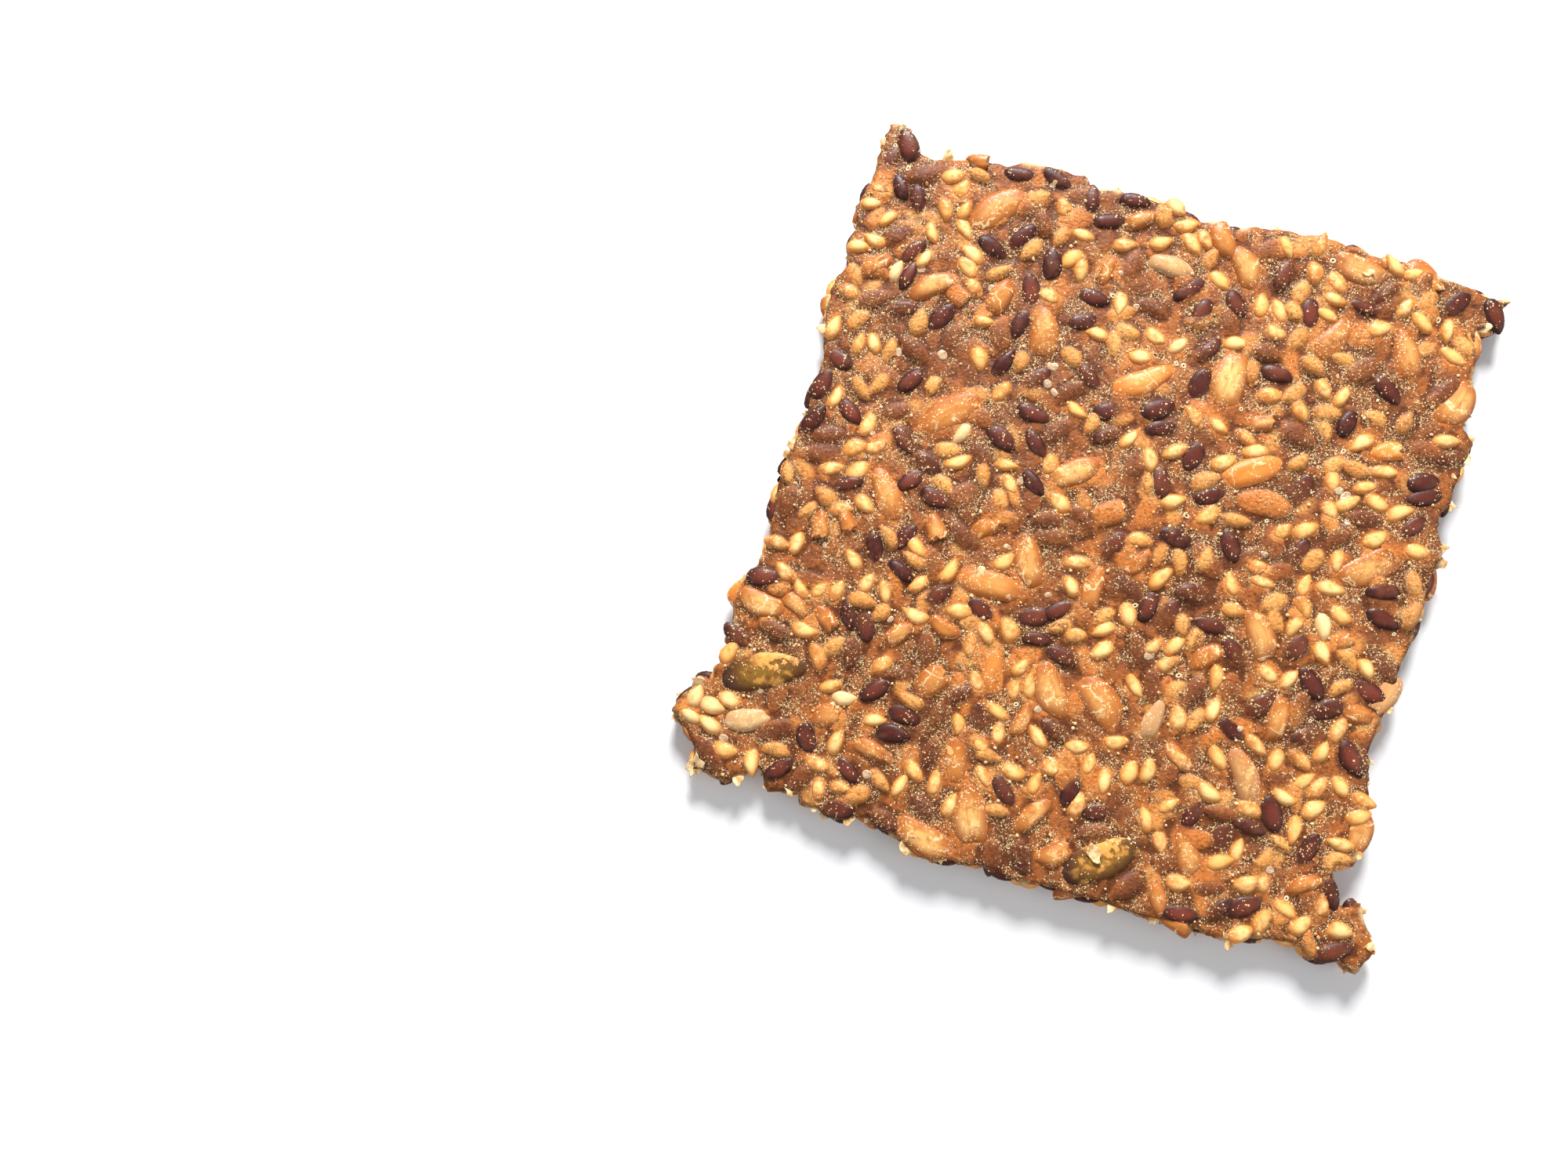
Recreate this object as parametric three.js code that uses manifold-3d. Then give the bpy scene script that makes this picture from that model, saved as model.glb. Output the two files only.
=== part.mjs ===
// Multigrain seed cracker: one thin baked sheet with broken edges and whole seeds in it.
// It lies flat with its smooth, mat-baked face up. Units are millimetres, +Z is up, and the
// origin is under the middle of the cracker, at the level of its lowest seeds.

import * as THREE from 'three';
import { mergeVertices } from 'three/addons/utils/BufferGeometryUtils.js';
import Module from 'manifold-3d';

const wasm = await Module();
wasm.setup();

// --- Driving dimensions ---------------------------------------------------------------

const doughThickness = 2.7;
const underGap = 0.75;          // the dough's lower face above the level of the lowest seeds
const lumpHeight = 0.12;        // soft unevenness of both faces
const lumpLength = 9;
const lumpSlant = 0.4;
const bowHeight = 0.7;          // the middle arches this much above the rim
const bowRadius = 60;

const crumbPitch = 1.8;         // spacing of the small breaks along the edge
const crumbDepth = 0.7;
const sheetCell = 7.5;          // grid of the sheet's two faces
const sheetMargin = 4;

const weldDistance = 0.0001;
const randomSeed = 7193;

// Breaks along the four sides, clockwise from the ear at the upper left corner.
const upperEdge = [
  [-43.6, 48.6], [-40.3, 48.7], [-39.1, 45.7], [-36.0, 45.1], [-29.5, 46.5], [-18.5, 48.1],
  [-14.9, 48.3], [-13.9, 46.9], [-5.0, 47.1], [5.5, 45.6], [11.5, 47.2], [19.5, 47.9],
  [30.5, 46.9],
];
const rightEdge = [
  [43.9, 45.6], [43.1, 41.9], [40.7, 40.6], [41.8, 32.4], [42.0, 26.9], [43.5, 25.7],
  [42.2, 12.9], [43.5, 10.9], [42.9, -0.1], [41.1, -18.1], [43.2, -26.6], [42.8, -32.5],
  [40.5, -33.3], [41.1, -38.4],
];
const foot = [[45.0, -37.1], [48.3, -42.1], [46.3, -45.8], [43.5, -44.9], [40.7, -45.8], [39.0, -44.4]];
const lowerEdge = [
  [34.5, -45.1], [29.5, -46.7], [15.5, -46.9], [-7.0, -47.7], [-10.3, -48.7], [-18.1, -45.5],
  [-21.5, -46.6], [-27.5, -46.7], [-28.5, -45.1], [-32.2, -46.5], [-34.5, -43.5], [-38.1, -46.7],
  [-43.1, -46.7],
];
const leftEdge = [
  [-44.1, -43.3], [-48.2, -39.8], [-46.0, -34.3], [-44.0, -33.9], [-43.2, -27.6], [-44.5, -23.1],
  [-42.5, -14.6], [-43.5, -4.1], [-42.6, 11.9], [-44.7, 22.9], [-43.4, 26.9], [-44.5, 35.9],
  [-43.5, 41.5],
];

// Seeds that set the look of the face. Large ones: [x, y, turn in degrees, length].
const pumpkinPlaces = [[-37.6, -31.1, 25, 12.4], [12.2, -41.6, 40, 11.6]];
const wholeKernels = [
  [-25.2, 40.4, 48, 9.0], [-14.4, 25.0, 100, 7.8], [-30.6, 27.4, 38, 7.2], [-21.5, 28.2, 74, 6.0],
  [-23.4, 10.4, 42, 9.6], [-5.2, 6.9, 33, 8.2], [-0.2, 38.4, -10, 6.8], [0.4, 21.8, 35, 8.8],
  [9.2, 41.0, 122, 6.8], [24.0, 44.6, -5, 7.8], [22.8, 34.0, 60, 7.6], [32.6, 34.4, 105, 7.8],
  [40.4, 30.0, 70, 7.6], [11.2, 25.0, 93, 9.0], [17.4, 13.8, 36, 8.6], [20.0, 9.8, 8, 7.2],
  [35.4, 5.8, 43, 9.2], [1.5, -7.6, 90, 6.8], [23.8, -7.2, 124, 7.8], [28.8, -17.0, 96, 6.8],
  [0.0, -22.2, 125, 8.4], [6.4, -21.8, 145, 8.6], [26.8, -25.6, 125, 7.8], [2.2, -38.6, 60, 6.2],
  [22.4, -37.6, 120, 6.8], [-28.6, -2.8, 124, 8.6], [-7.6, -6.4, 120, 7.6], [-11.6, -10.9, 4, 8.8],
  [-8.0, -22.2, 104, 6.8], [-40.8, -22.2, 176, 7.2], [-37.8, -37.9, 25, 6.8], [-5.6, -41.2, 110, 8.6],
  [-10.5, -46.0, -12, 8.4],
];
const kernelPieces = [
  [-39.4, 27.9, 50, 5.6], [-8.4, 35.7, 80, 4.6], [-5.9, 43.9, 30, 5.2], [-29.1, 46.4, 5, 5.0],
  [1.2, 3.2, 30, 6.6], [5.5, 43.8, -60, 6.0], [17.5, 20.6, 15, 5.2], [34.1, 21.4, 20, 6.0],
  [18.2, -11.9, 50, 5.6], [35.0, -4.5, 40, 4.6], [13.7, -21.9, 85, 6.0], [18.0, -25.8, -35, 5.0],
  [6.2, -2.6, 60, 4.6], [37.6, -36.7, 35, 4.8], [6.6, -42.2, 50, 6.4], [20.3, -44.0, -65, 5.2],
  [-31.3, -21.9, -30, 5.2], [-13.8, -2.9, 50, 6.4], [-20.4, -6.5, -60, 5.8], [-32.4, -8.6, -60, 5.4],
  [-35.8, -10.4, -70, 5.8], [-15.8, -18.3, -10, 4.8], [-14.9, -25.1, 45, 7.4], [-21.5, -20.8, 50, 4.8],
  [-26.7, -33.6, 25, 6.6], [-20.4, -36.9, -10, 6.0], [-9.4, -35.1, -75, 6.6], [-2.6, -27.2, 75, 5.2],
  [-36.0, -21.1, -30, 4.8], [38.4, -13.6, 0, 4.8],
];

// Small seeds of the upper face: [x, y, direction of the tip in degrees].
const boldFlax = [
  [-40.1, 46.1, 120], [-23.8, 45.9, 8], [-13.2, 44.9, 96], [-36.5, 38.9, 115], [-24.4, 34.7, -25],
  [-9.6, 27.9, 25], [-28.5, 23.2, 62], [-13.5, 18.4, 48], [-40.5, 13.6, -15], [-30.0, 13.4, 55],
  [-15.7, 8.9, -30], [14.4, 41.1, 85], [37.2, 43.4, 60], [9.4, 35.5, -50], [27.5, 31.1, 50],
  [38.7, 31.4, 60], [3.2, 18.6, 35], [40.9, 22.5, 20], [22.1, 20.0, -20], [6.2, 8.9, -75],
  [32.8, 11.6, 10], [17.1, 3.2, -60], [38.4, -0.6, -15], [14.3, -4.4, 10], [28.9, -7.4, 70],
  [21.2, -10.4, -38], [34.8, -14.0, 35], [0.3, -17.4, -10], [23.7, -20.4, -25], [31.4, -29.4, -65],
  [10.3, -35.6, 25], [41.0, -36.9, -65], [28.2, -42.9, 50], [-21.7, -1.5, -5], [-41.3, -7.6, 85],
  [-23.6, -12.6, -25], [-41.3, -18.6, 15], [-28.6, -20.4, -60], [-17.4, -21.7, -75], [-22.4, -29.0, 45],
  [-29.4, -37.9, -55], [-12.2, -41.9, -30],
];
const boldSesame = [
  [-29.2, 44.3, 170], [-41.8, 38.9, 180], [-33.1, 30.7, 62], [-16.4, 42.5, 125], [-7.3, 26.6, 180],
  [-36.2, 10.4, -40], [18.3, 42.5, -75], [12.6, 36.3, 95], [28.4, 37.3, 30], [25.0, 21.6, -60],
  [36.9, 13.6, 35], [8.4, 6.8, 30], [22.3, -0.4, 0], [9.6, -3.6, 60], [13.4, -14.4, 45],
  [36.6, -16.3, 80], [34.1, -24.0, 45], [14.8, -28.6, 90], [-31.1, -5.1, -30], [-27.6, -15.4, 75],
  [-45.6, -39.7, 165], [-6.0, -27.0, -20],
];

// The seeds: [shortest, longest] length, width as a part of the length, how far the seed stands
// out of its face, how flat its top is (1 is round) and how much its tip is drawn in.
const kinds = {
  pumpkin: { length: [11, 12], slim: 0.53, proud: 0.50, flat: 0.2, tip: 0.30, sides: 10 },
  sunflower: { length: [5, 9], slim: 0.50, proud: 0.55, flat: 0.2, tip: 0.20, sides: 8 },
  flax: { length: [4.5, 5.5], slim: 0.53, proud: 0.50, flat: 0.5, tip: 0.16, sides: 6 },
  sesame: { length: [3.3, 4.1], slim: 0.60, proud: 0.50, flat: 0.5, tip: 0.36, sides: 6 },
};
const smallSeedThickness = 1.4; // flax and sesame; the larger seeds show at both faces
const seedRings = 3;
const widestRing = Math.sin(Math.PI / seedRings);
const lowerFlax = 42;
const lowerSesame = 22;
const underProud = 0.15;        // the rough lower face shows its seeds by this much more
const seedOverlap = 0.25;       // seeds may lie over each other by this much
const edgeInset = 0.8;          // a scattered seed stays this far inside the broken edge
const triesPerSeed = 60;

// --- Repeatable random draws ----------------------------------------------------------

const drawRange = 2147483647;
const drawStep = 48271;
let drawState = randomSeed;

function draw() {
  drawState = (drawState * drawStep) % drawRange;
  return drawState / drawRange;
}

function between([low, high]) {
  return low + (high - low) * draw();
}

// --- Outline of the broken sheet ------------------------------------------------------

function raggedOutline() {
  const rim = [...upperEdge, ...rightEdge, ...foot, ...lowerEdge, ...leftEdge];
  const points = [];
  rim.forEach(([x, y], index) => {
    const [nextX, nextY] = rim[(index + 1) % rim.length];
    const run = Math.hypot(nextX - x, nextY - y);
    const steps = Math.max(1, Math.round(run / crumbPitch));
    for (let step = 0; step < steps; step += 1) {
      const along = step / steps;
      const bite = step === 0 ? 0 : (draw() - 0.5) * crumbDepth;
      const bittenX = x + (nextX - x) * along + ((nextY - y) / run) * bite;
      const bittenY = y + (nextY - y) * along - ((nextX - x) / run) * bite;
      points.push([bittenX, bittenY]);
    }
  });
  return points;
}

function depthInside(outline, x, y) {
  let inside = false;
  let nearest = Infinity;
  outline.forEach(([x1, y1], index) => {
    const [x2, y2] = outline[(index + 1) % outline.length];
    const crosses = (y1 > y) !== (y2 > y) && x < ((x2 - x1) * (y - y1)) / (y2 - y1) + x1;
    inside = crosses ? !inside : inside;
    nearest = Math.min(nearest, Math.hypot(x1 - x, y1 - y));
  });
  return inside ? nearest : -nearest;
}

// --- Placing the seeds ----------------------------------------------------------------

// Three discs along a seed stand for its plan when it is tested against the others.
function discs(seed) {
  const reach = (seed.length - seed.width) / 2;
  return [-reach, 0, reach].map((shift) => [
    seed.x + Math.cos(seed.turn) * shift,
    seed.y + Math.sin(seed.turn) * shift,
  ]);
}

function overlap(one, other) {
  const touching = (one.width + other.width) / 2;
  let deepest = -Infinity;
  for (const [x1, y1] of one.discs) {
    for (const [x2, y2] of other.discs) {
      deepest = Math.max(deepest, touching - Math.hypot(x1 - x2, y1 - y2));
    }
  }
  return deepest;
}

function makeSeed(kind, face, x, y, turn, length) {
  const seed = { kind, face, x, y, turn, length, width: length * kinds[kind].slim };
  seed.discs = discs(seed);
  return seed;
}

function sharesFace(one, other) {
  return one.face === 'both' || other.face === 'both' || one.face === other.face;
}

// A seed whose place gives no length draws one.
function placeByHand(seeds, kind, face, places) {
  for (const [x, y, degrees, length = between(kinds[kind].length)] of places) {
    seeds.push(makeSeed(kind, face, x, y, THREE.MathUtils.degToRad(degrees), length));
  }
}

function scatter(seeds, outline, kind, face, count) {
  const halfSpan = 48;
  for (let index = 0; index < count; index += 1) {
    const length = between(kinds[kind].length);
    for (let attempt = 0; attempt < triesPerSeed; attempt += 1) {
      const x = between([-halfSpan, halfSpan]);
      const y = between([-halfSpan, halfSpan]);
      const turn = between([0, 2 * Math.PI]);
      const seed = makeSeed(kind, face, x, y, turn, length);
      const free = seeds.every((other) => !sharesFace(seed, other) || overlap(seed, other) < seedOverlap);
      const rooted = seed.discs.every(([discX, discY]) => depthInside(outline, discX, discY) > edgeInset);
      if (free && rooted) {
        seeds.push(seed);
        break;
      }
    }
  }
}

function placeSeeds(outline) {
  const seeds = [];
  placeByHand(seeds, 'pumpkin', 'both', pumpkinPlaces);
  placeByHand(seeds, 'sunflower', 'both', wholeKernels);
  placeByHand(seeds, 'sunflower', 'both', kernelPieces);
  placeByHand(seeds, 'flax', 'upper', boldFlax);
  placeByHand(seeds, 'sesame', 'upper', boldSesame);
  scatter(seeds, outline, 'flax', 'lower', lowerFlax);
  scatter(seeds, outline, 'sesame', 'lower', lowerSesame);
  return seeds;
}

// --- Solids ---------------------------------------------------------------------------

function toSolid(source) {
  const geometry = source.clone();
  geometry.deleteAttribute('normal');
  geometry.deleteAttribute('uv');
  const merged = mergeVertices(geometry, weldDistance);
  const vertProperties = new Float32Array(merged.attributes.position.array);
  const triVerts = new Uint32Array(merged.index.array);
  return new wasm.Manifold(new wasm.Mesh({ numProp: 3, vertProperties, triVerts }));
}

function toGeometry(solid) {
  const mesh = solid.getMesh();
  const geometry = new THREE.BufferGeometry();
  geometry.setAttribute('position', new THREE.BufferAttribute(mesh.vertProperties, 3));
  geometry.setIndex(new THREE.BufferAttribute(mesh.triVerts, 1));
  return geometry;
}

function moveVertices(geometry, change) {
  const place = geometry.attributes.position;
  const point = new THREE.Vector3();
  for (let index = 0; index < place.count; index += 1) {
    point.fromBufferAttribute(place, index);
    change(point);
    place.setXYZ(index, point.x, point.y, point.z);
  }
  return geometry;
}

function lump(x, y) {
  const across = Math.sin(x / lumpLength + Math.sin(y / lumpLength));
  const aslant = Math.cos((y - x * lumpSlant) / lumpLength);
  return lumpHeight * (across + aslant);
}

const middleHeight = underGap + doughThickness / 2;

// Both faces of the sheet are grids that rise and fall a little, cut out by the outline.
function doughSheet(outline) {
  const xs = outline.map(([x]) => x);
  const ys = outline.map(([, y]) => y);
  const width = Math.max(...xs) - Math.min(...xs) + 2 * sheetMargin;
  const depth = Math.max(...ys) - Math.min(...ys) + 2 * sheetMargin;
  const columns = Math.round(width / sheetCell);
  const rows = Math.round(depth / sheetCell);
  const sheet = new THREE.BoxGeometry(width, depth, doughThickness, columns, rows, 1);
  sheet.translate(0, 0, middleHeight);
  moveVertices(sheet, (point) => {
    point.z += point.z > middleHeight ? lump(point.x, point.y) : -lump(point.y, -point.x);
  });
  const shape = new THREE.Shape(outline.map(([x, y]) => new THREE.Vector2(x, y)));
  const cutterHeight = 4 * doughThickness;
  const cutter = new THREE.ExtrudeGeometry(shape, { depth: cutterHeight, bevelEnabled: false });
  cutter.translate(0, 0, middleHeight - cutterHeight / 2);
  return toSolid(sheet).intersect(toSolid(cutter));
}

// A seed is a low ellipsoid whose one end, along its own +X, is drawn in to a blunt tip.
function seedSolid(seed) {
  const { proud, flat, tip, sides } = kinds[seed.kind];
  const upperTop = middleHeight + doughThickness / 2 + lump(seed.x, seed.y) + proud;
  const lowerTop = middleHeight - doughThickness / 2 - lump(seed.y, -seed.x) - proud - underProud;
  const thickness = seed.face === 'both' ? upperTop - lowerTop : smallSeedThickness;
  const middle = {
    upper: upperTop - thickness / 2,
    lower: lowerTop + thickness / 2,
    both: (upperTop + lowerTop) / 2,
  };
  const body = new THREE.SphereGeometry(0.5, sides, seedRings);
  body.rotateX(Math.PI / 2);
  body.rotateZ(Math.PI / sides);
  moveVertices(body, (point) => {
    point.y *= 1 - tip * 2 * Math.max(0, point.x);
    point.z = Math.sign(point.z) * 0.5 * Math.abs(2 * point.z) ** flat;
  });
  body.scale(seed.length / widestRing, seed.width / widestRing, thickness);
  body.rotateZ(seed.turn);
  body.translate(seed.x, seed.y, middle[seed.face]);
  return toSolid(body);
}

function bow(point) {
  const fromMiddle = Math.min(1, Math.hypot(point.x, point.y) / bowRadius);
  point.z += bowHeight * (1 - fromMiddle * fromMiddle);
}

function crackerGeometry() {
  const outline = raggedOutline();
  let solid = doughSheet(outline);
  for (const seed of placeSeeds(outline)) {
    solid = solid.add(seedSolid(seed));
  }
  const geometry = moveVertices(toGeometry(solid), bow);
  geometry.computeBoundingBox();
  const { min, max } = geometry.boundingBox;
  geometry.translate(-(min.x + max.x) / 2, -(min.y + max.y) / 2, -min.z);
  geometry.computeVertexNormals();
  return geometry;
}

// --- Scene graph ----------------------------------------------------------------------

const baked = new THREE.MeshStandardMaterial({ color: 0xb9803f, roughness: 0.45, metalness: 0 });
const cracker = new THREE.Mesh(crackerGeometry(), baked);
cracker.name = 'cracker';

const group = new THREE.Group();
group.add(cracker);

export default group;
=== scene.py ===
# %% [markdown]
# # A multigrain seed cracker
# The real cracker is a thin sheet of seeds held together by a little dough. It is spread on a mat,
# baked until the dough turns to a brown glassy film, and broken by hand. This file rebuilds its looks
# round a fixed model of the same cracker, in metres, with +Z up and the smooth face on top.

# %% Load the fixed model
import math

import bpy
import numpy as np
from mathutils import Matrix, Vector
from mathutils.geometry import delaunay_2d_cdt


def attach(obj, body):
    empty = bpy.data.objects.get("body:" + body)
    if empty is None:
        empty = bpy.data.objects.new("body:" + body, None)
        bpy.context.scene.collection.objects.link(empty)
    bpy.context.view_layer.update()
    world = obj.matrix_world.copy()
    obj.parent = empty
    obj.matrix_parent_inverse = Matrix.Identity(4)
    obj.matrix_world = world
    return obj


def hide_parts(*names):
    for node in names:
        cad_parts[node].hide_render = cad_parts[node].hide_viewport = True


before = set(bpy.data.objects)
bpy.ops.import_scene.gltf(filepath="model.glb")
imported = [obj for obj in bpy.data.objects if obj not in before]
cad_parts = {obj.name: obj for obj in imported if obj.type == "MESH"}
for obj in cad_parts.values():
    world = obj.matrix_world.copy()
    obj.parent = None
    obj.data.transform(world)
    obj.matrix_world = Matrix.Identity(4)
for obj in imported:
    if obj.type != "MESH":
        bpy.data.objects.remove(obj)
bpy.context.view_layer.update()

MM = 0.001

# %% [markdown]
# ## Sizes
# All lengths below are in millimetres, as a baker would measure them, and turn into metres only when a
# mesh is made. The sheet, its broken outline and its large seeds are those of the fixed model.

# %% The sheet and its broken edge
DOUGH_THICKNESS = 2.7
UNDER_GAP = 0.75            # the dough's lower face above the level of the lowest seeds
MIDDLE_HEIGHT = UNDER_GAP + DOUGH_THICKNESS / 2
LUMP_HEIGHT = 0.12
LUMP_LENGTH = 9
LUMP_SLANT = 0.4
BOW_HEIGHT = 0.7
BOW_RADIUS = 60
CRUMB_PITCH = 1.8
CRUMB_DEPTH = 0.7

UPPER_EDGE = [
    (-43.6, 48.6), (-40.3, 48.7), (-39.1, 45.7), (-36.0, 45.1), (-29.5, 46.5), (-18.5, 48.1),
    (-14.9, 48.3), (-13.9, 46.9), (-5.0, 47.1), (5.5, 45.6), (11.5, 47.2), (19.5, 47.9),
    (30.5, 46.9),
]
RIGHT_EDGE = [
    (43.9, 45.6), (43.1, 41.9), (40.7, 40.6), (41.8, 32.4), (42.0, 26.9), (43.5, 25.7),
    (42.2, 12.9), (43.5, 10.9), (42.9, -0.1), (41.1, -18.1), (43.2, -26.6), (42.8, -32.5),
    (40.5, -33.3), (41.1, -38.4),
]
FOOT = [(45.0, -37.1), (48.3, -42.1), (46.3, -45.8), (43.5, -44.9), (40.7, -45.8), (39.0, -44.4)]
LOWER_EDGE = [
    (34.5, -45.1), (29.5, -46.7), (15.5, -46.9), (-7.0, -47.7), (-10.3, -48.7), (-18.1, -45.5),
    (-21.5, -46.6), (-27.5, -46.7), (-28.5, -45.1), (-32.2, -46.5), (-34.5, -43.5), (-38.1, -46.7),
    (-43.1, -46.7),
]
LEFT_EDGE = [
    (-44.1, -43.3), (-48.2, -39.8), (-46.0, -34.3), (-44.0, -33.9), (-43.2, -27.6), (-44.5, -23.1),
    (-42.5, -14.6), (-43.5, -4.1), (-42.6, 11.9), (-44.7, 22.9), (-43.4, 26.9), (-44.5, 35.9),
    (-43.5, 41.5),
]

# %% [markdown]
# ## Repeatable chance
# Seeds fall by chance, but the cracker has to come out the same on every run. One small generator, the
# same as the fixed model's, draws the outline and the places of the seeds. A second one, from numpy,
# draws what only shows here, such as tints and tilts.

# %% Draws
DRAW_RANGE = 2147483647
DRAW_STEP = 48271
draw_state = 7193
rng = np.random.default_rng(2604)


def draw():
    global draw_state
    draw_state = draw_state * DRAW_STEP % DRAW_RANGE
    return draw_state / DRAW_RANGE


def between(low, high):
    return low + (high - low) * draw()


# %% [markdown]
# ## The broken edge
# A sheet that is snapped by hand breaks along straight runs with corners between them, and each run is
# crumbly. So the corners above are listed, and every run is cut into short steps that are pushed
# in or out a little.

# %% Outline of the broken sheet
def ragged_outline():
    rim = UPPER_EDGE + RIGHT_EDGE + FOOT + LOWER_EDGE + LEFT_EDGE
    points = []
    for (x, y), (next_x, next_y) in zip(rim, rim[1:] + rim[:1]):
        run = math.hypot(next_x - x, next_y - y)
        steps = max(1, math.floor(run / CRUMB_PITCH + 0.5))
        for step in range(steps):
            along = step / steps
            bite = 0 if step == 0 else (draw() - 0.5) * CRUMB_DEPTH
            points.append((
                x + (next_x - x) * along + (next_y - y) / run * bite,
                y + (next_y - y) * along - (next_x - x) / run * bite,
            ))
    return np.array(points)


outline = ragged_outline()
print("outline:", len(outline), "points")

# %% [markdown]
# ## Where the seeds lie
# Each large seed is listed where it lies on the real sheet: across, up, turn in degrees, length. So are
# the dark flax and the bright sesame seeds that catch the eye first; there the degrees point to the tip.
# All others are dropped one by one: a seed stays if its plan, three discs in a row, lies clear of the
# seeds that share its face. Large seeds come first, as small ones fill the gaps on the real sheet too.

# %% Large seeds
BOLD_PUMPKIN = [(-37.6, -31.1, 25, 12.4), (12.2, -41.6, 40, 11.6)]
WHOLE_KERNELS = [
    (-25.2, 40.4, 48, 9.0), (-14.4, 25.0, 100, 7.8), (-30.6, 27.4, 38, 7.2), (-21.5, 28.2, 74, 6.0),
    (-23.4, 10.4, 42, 9.6), (-5.2, 6.9, 33, 8.2), (-0.2, 38.4, -10, 6.8), (0.4, 21.8, 35, 8.8),
    (9.2, 41.0, 122, 6.8), (24.0, 44.6, -5, 7.8), (22.8, 34.0, 60, 7.6), (32.6, 34.4, 105, 7.8),
    (40.4, 30.0, 70, 7.6), (11.2, 25.0, 93, 9.0), (17.4, 13.8, 36, 8.6), (20.0, 9.8, 8, 7.2),
    (35.4, 5.8, 43, 9.2), (1.5, -7.6, 90, 6.8), (23.8, -7.2, 124, 7.8), (28.8, -17.0, 96, 6.8),
    (0.0, -22.2, 125, 8.4), (6.4, -21.8, 145, 8.6), (26.8, -25.6, 125, 7.8), (2.2, -38.6, 60, 6.2),
    (22.4, -37.6, 120, 6.8), (-28.6, -2.8, 124, 8.6), (-7.6, -6.4, 120, 7.6), (-11.6, -10.9, 4, 8.8),
    (-8.0, -22.2, 104, 6.8), (-40.8, -22.2, 176, 7.2), (-37.8, -37.9, 25, 6.8), (-5.6, -41.2, 110, 8.6),
    (-10.5, -46.0, -12, 8.4),
]
KERNEL_PIECES = [
    (-39.4, 27.9, 50, 5.6), (-8.4, 35.7, 80, 4.6), (-5.9, 43.9, 30, 5.2), (-29.1, 46.4, 5, 5.0),
    (1.2, 3.2, 30, 6.6), (5.5, 43.8, -60, 6.0), (17.5, 20.6, 15, 5.2), (34.1, 21.4, 20, 6.0),
    (18.2, -11.9, 50, 5.6), (35.0, -4.5, 40, 4.6), (13.7, -21.9, 85, 6.0), (18.0, -25.8, -35, 5.0),
    (6.2, -2.6, 60, 4.6), (37.6, -36.7, 35, 4.8), (6.6, -42.2, 50, 6.4), (20.3, -44.0, -65, 5.2),
    (-31.3, -21.9, -30, 5.2), (-13.8, -2.9, 50, 6.4), (-20.4, -6.5, -60, 5.8), (-32.4, -8.6, -60, 5.4),
    (-35.8, -10.4, -70, 5.8), (-15.8, -18.3, -10, 4.8), (-14.9, -25.1, 45, 7.4), (-21.5, -20.8, 50, 4.8),
    (-26.7, -33.6, 25, 6.6), (-20.4, -36.9, -10, 6.0), (-9.4, -35.1, -75, 6.6), (-2.6, -27.2, 75, 5.2),
    (-36.0, -21.1, -30, 4.8), (38.4, -13.6, 0, 4.8),
]

# %% Small seeds of the smooth face that the fixed model has too
BOLD_FLAX = [
    (-40.1, 46.1, 120), (-23.8, 45.9, 8), (-13.2, 44.9, 96), (-36.5, 38.9, 115), (-24.4, 34.7, -25),
    (-9.6, 27.9, 25), (-28.5, 23.2, 62), (-13.5, 18.4, 48), (-40.5, 13.6, -15), (-30.0, 13.4, 55),
    (-15.7, 8.9, -30), (14.4, 41.1, 85), (37.2, 43.4, 60), (9.4, 35.5, -50), (27.5, 31.1, 50),
    (38.7, 31.4, 60), (3.2, 18.6, 35), (40.9, 22.5, 20), (22.1, 20.0, -20), (6.2, 8.9, -75),
    (32.8, 11.6, 10), (17.1, 3.2, -60), (38.4, -0.6, -15), (14.3, -4.4, 10), (28.9, -7.4, 70),
    (21.2, -10.4, -38), (34.8, -14.0, 35), (0.3, -17.4, -10), (23.7, -20.4, -25), (31.4, -29.4, -65),
    (10.3, -35.6, 25), (41.0, -36.9, -65), (28.2, -42.9, 50), (-21.7, -1.5, -5), (-41.3, -7.6, 85),
    (-23.6, -12.6, -25), (-41.3, -18.6, 15), (-28.6, -20.4, -60), (-17.4, -21.7, -75),
    (-22.4, -29.0, 45), (-29.4, -37.9, -55), (-12.2, -41.9, -30),
]
BOLD_SESAME = [
    (-29.2, 44.3, 170), (-41.8, 38.9, 180), (-33.1, 30.7, 62), (-16.4, 42.5, 125), (-7.3, 26.6, 180),
    (-36.2, 10.4, -40), (18.3, 42.5, -75), (12.6, 36.3, 95), (28.4, 37.3, 30), (25.0, 21.6, -60),
    (36.9, 13.6, 35), (8.4, 6.8, 30), (22.3, -0.4, 0), (9.6, -3.6, 60), (13.4, -14.4, 45),
    (36.6, -16.3, 80), (34.1, -24.0, 45), (14.8, -28.6, 90), (-31.1, -5.1, -30), (-27.6, -15.4, 75),
    (-45.6, -39.7, 165), (-6.0, -27.0, -20),
]

# %% Seed kinds
KINDS = ("pumpkin", "sunflower", "flax", "sesame")
LENGTHS = {"pumpkin": (11, 12), "sunflower": (5, 9), "flax": (4.5, 5.5), "sesame": (3.3, 4.1)}
SLIM = {"pumpkin": 0.53, "sunflower": 0.50, "flax": 0.53, "sesame": 0.60}
SEED_OVERLAP = 0.25
EDGE_INSET = 0.8
TRIES_PER_SEED = 60
HALF_SPAN = 48


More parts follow.
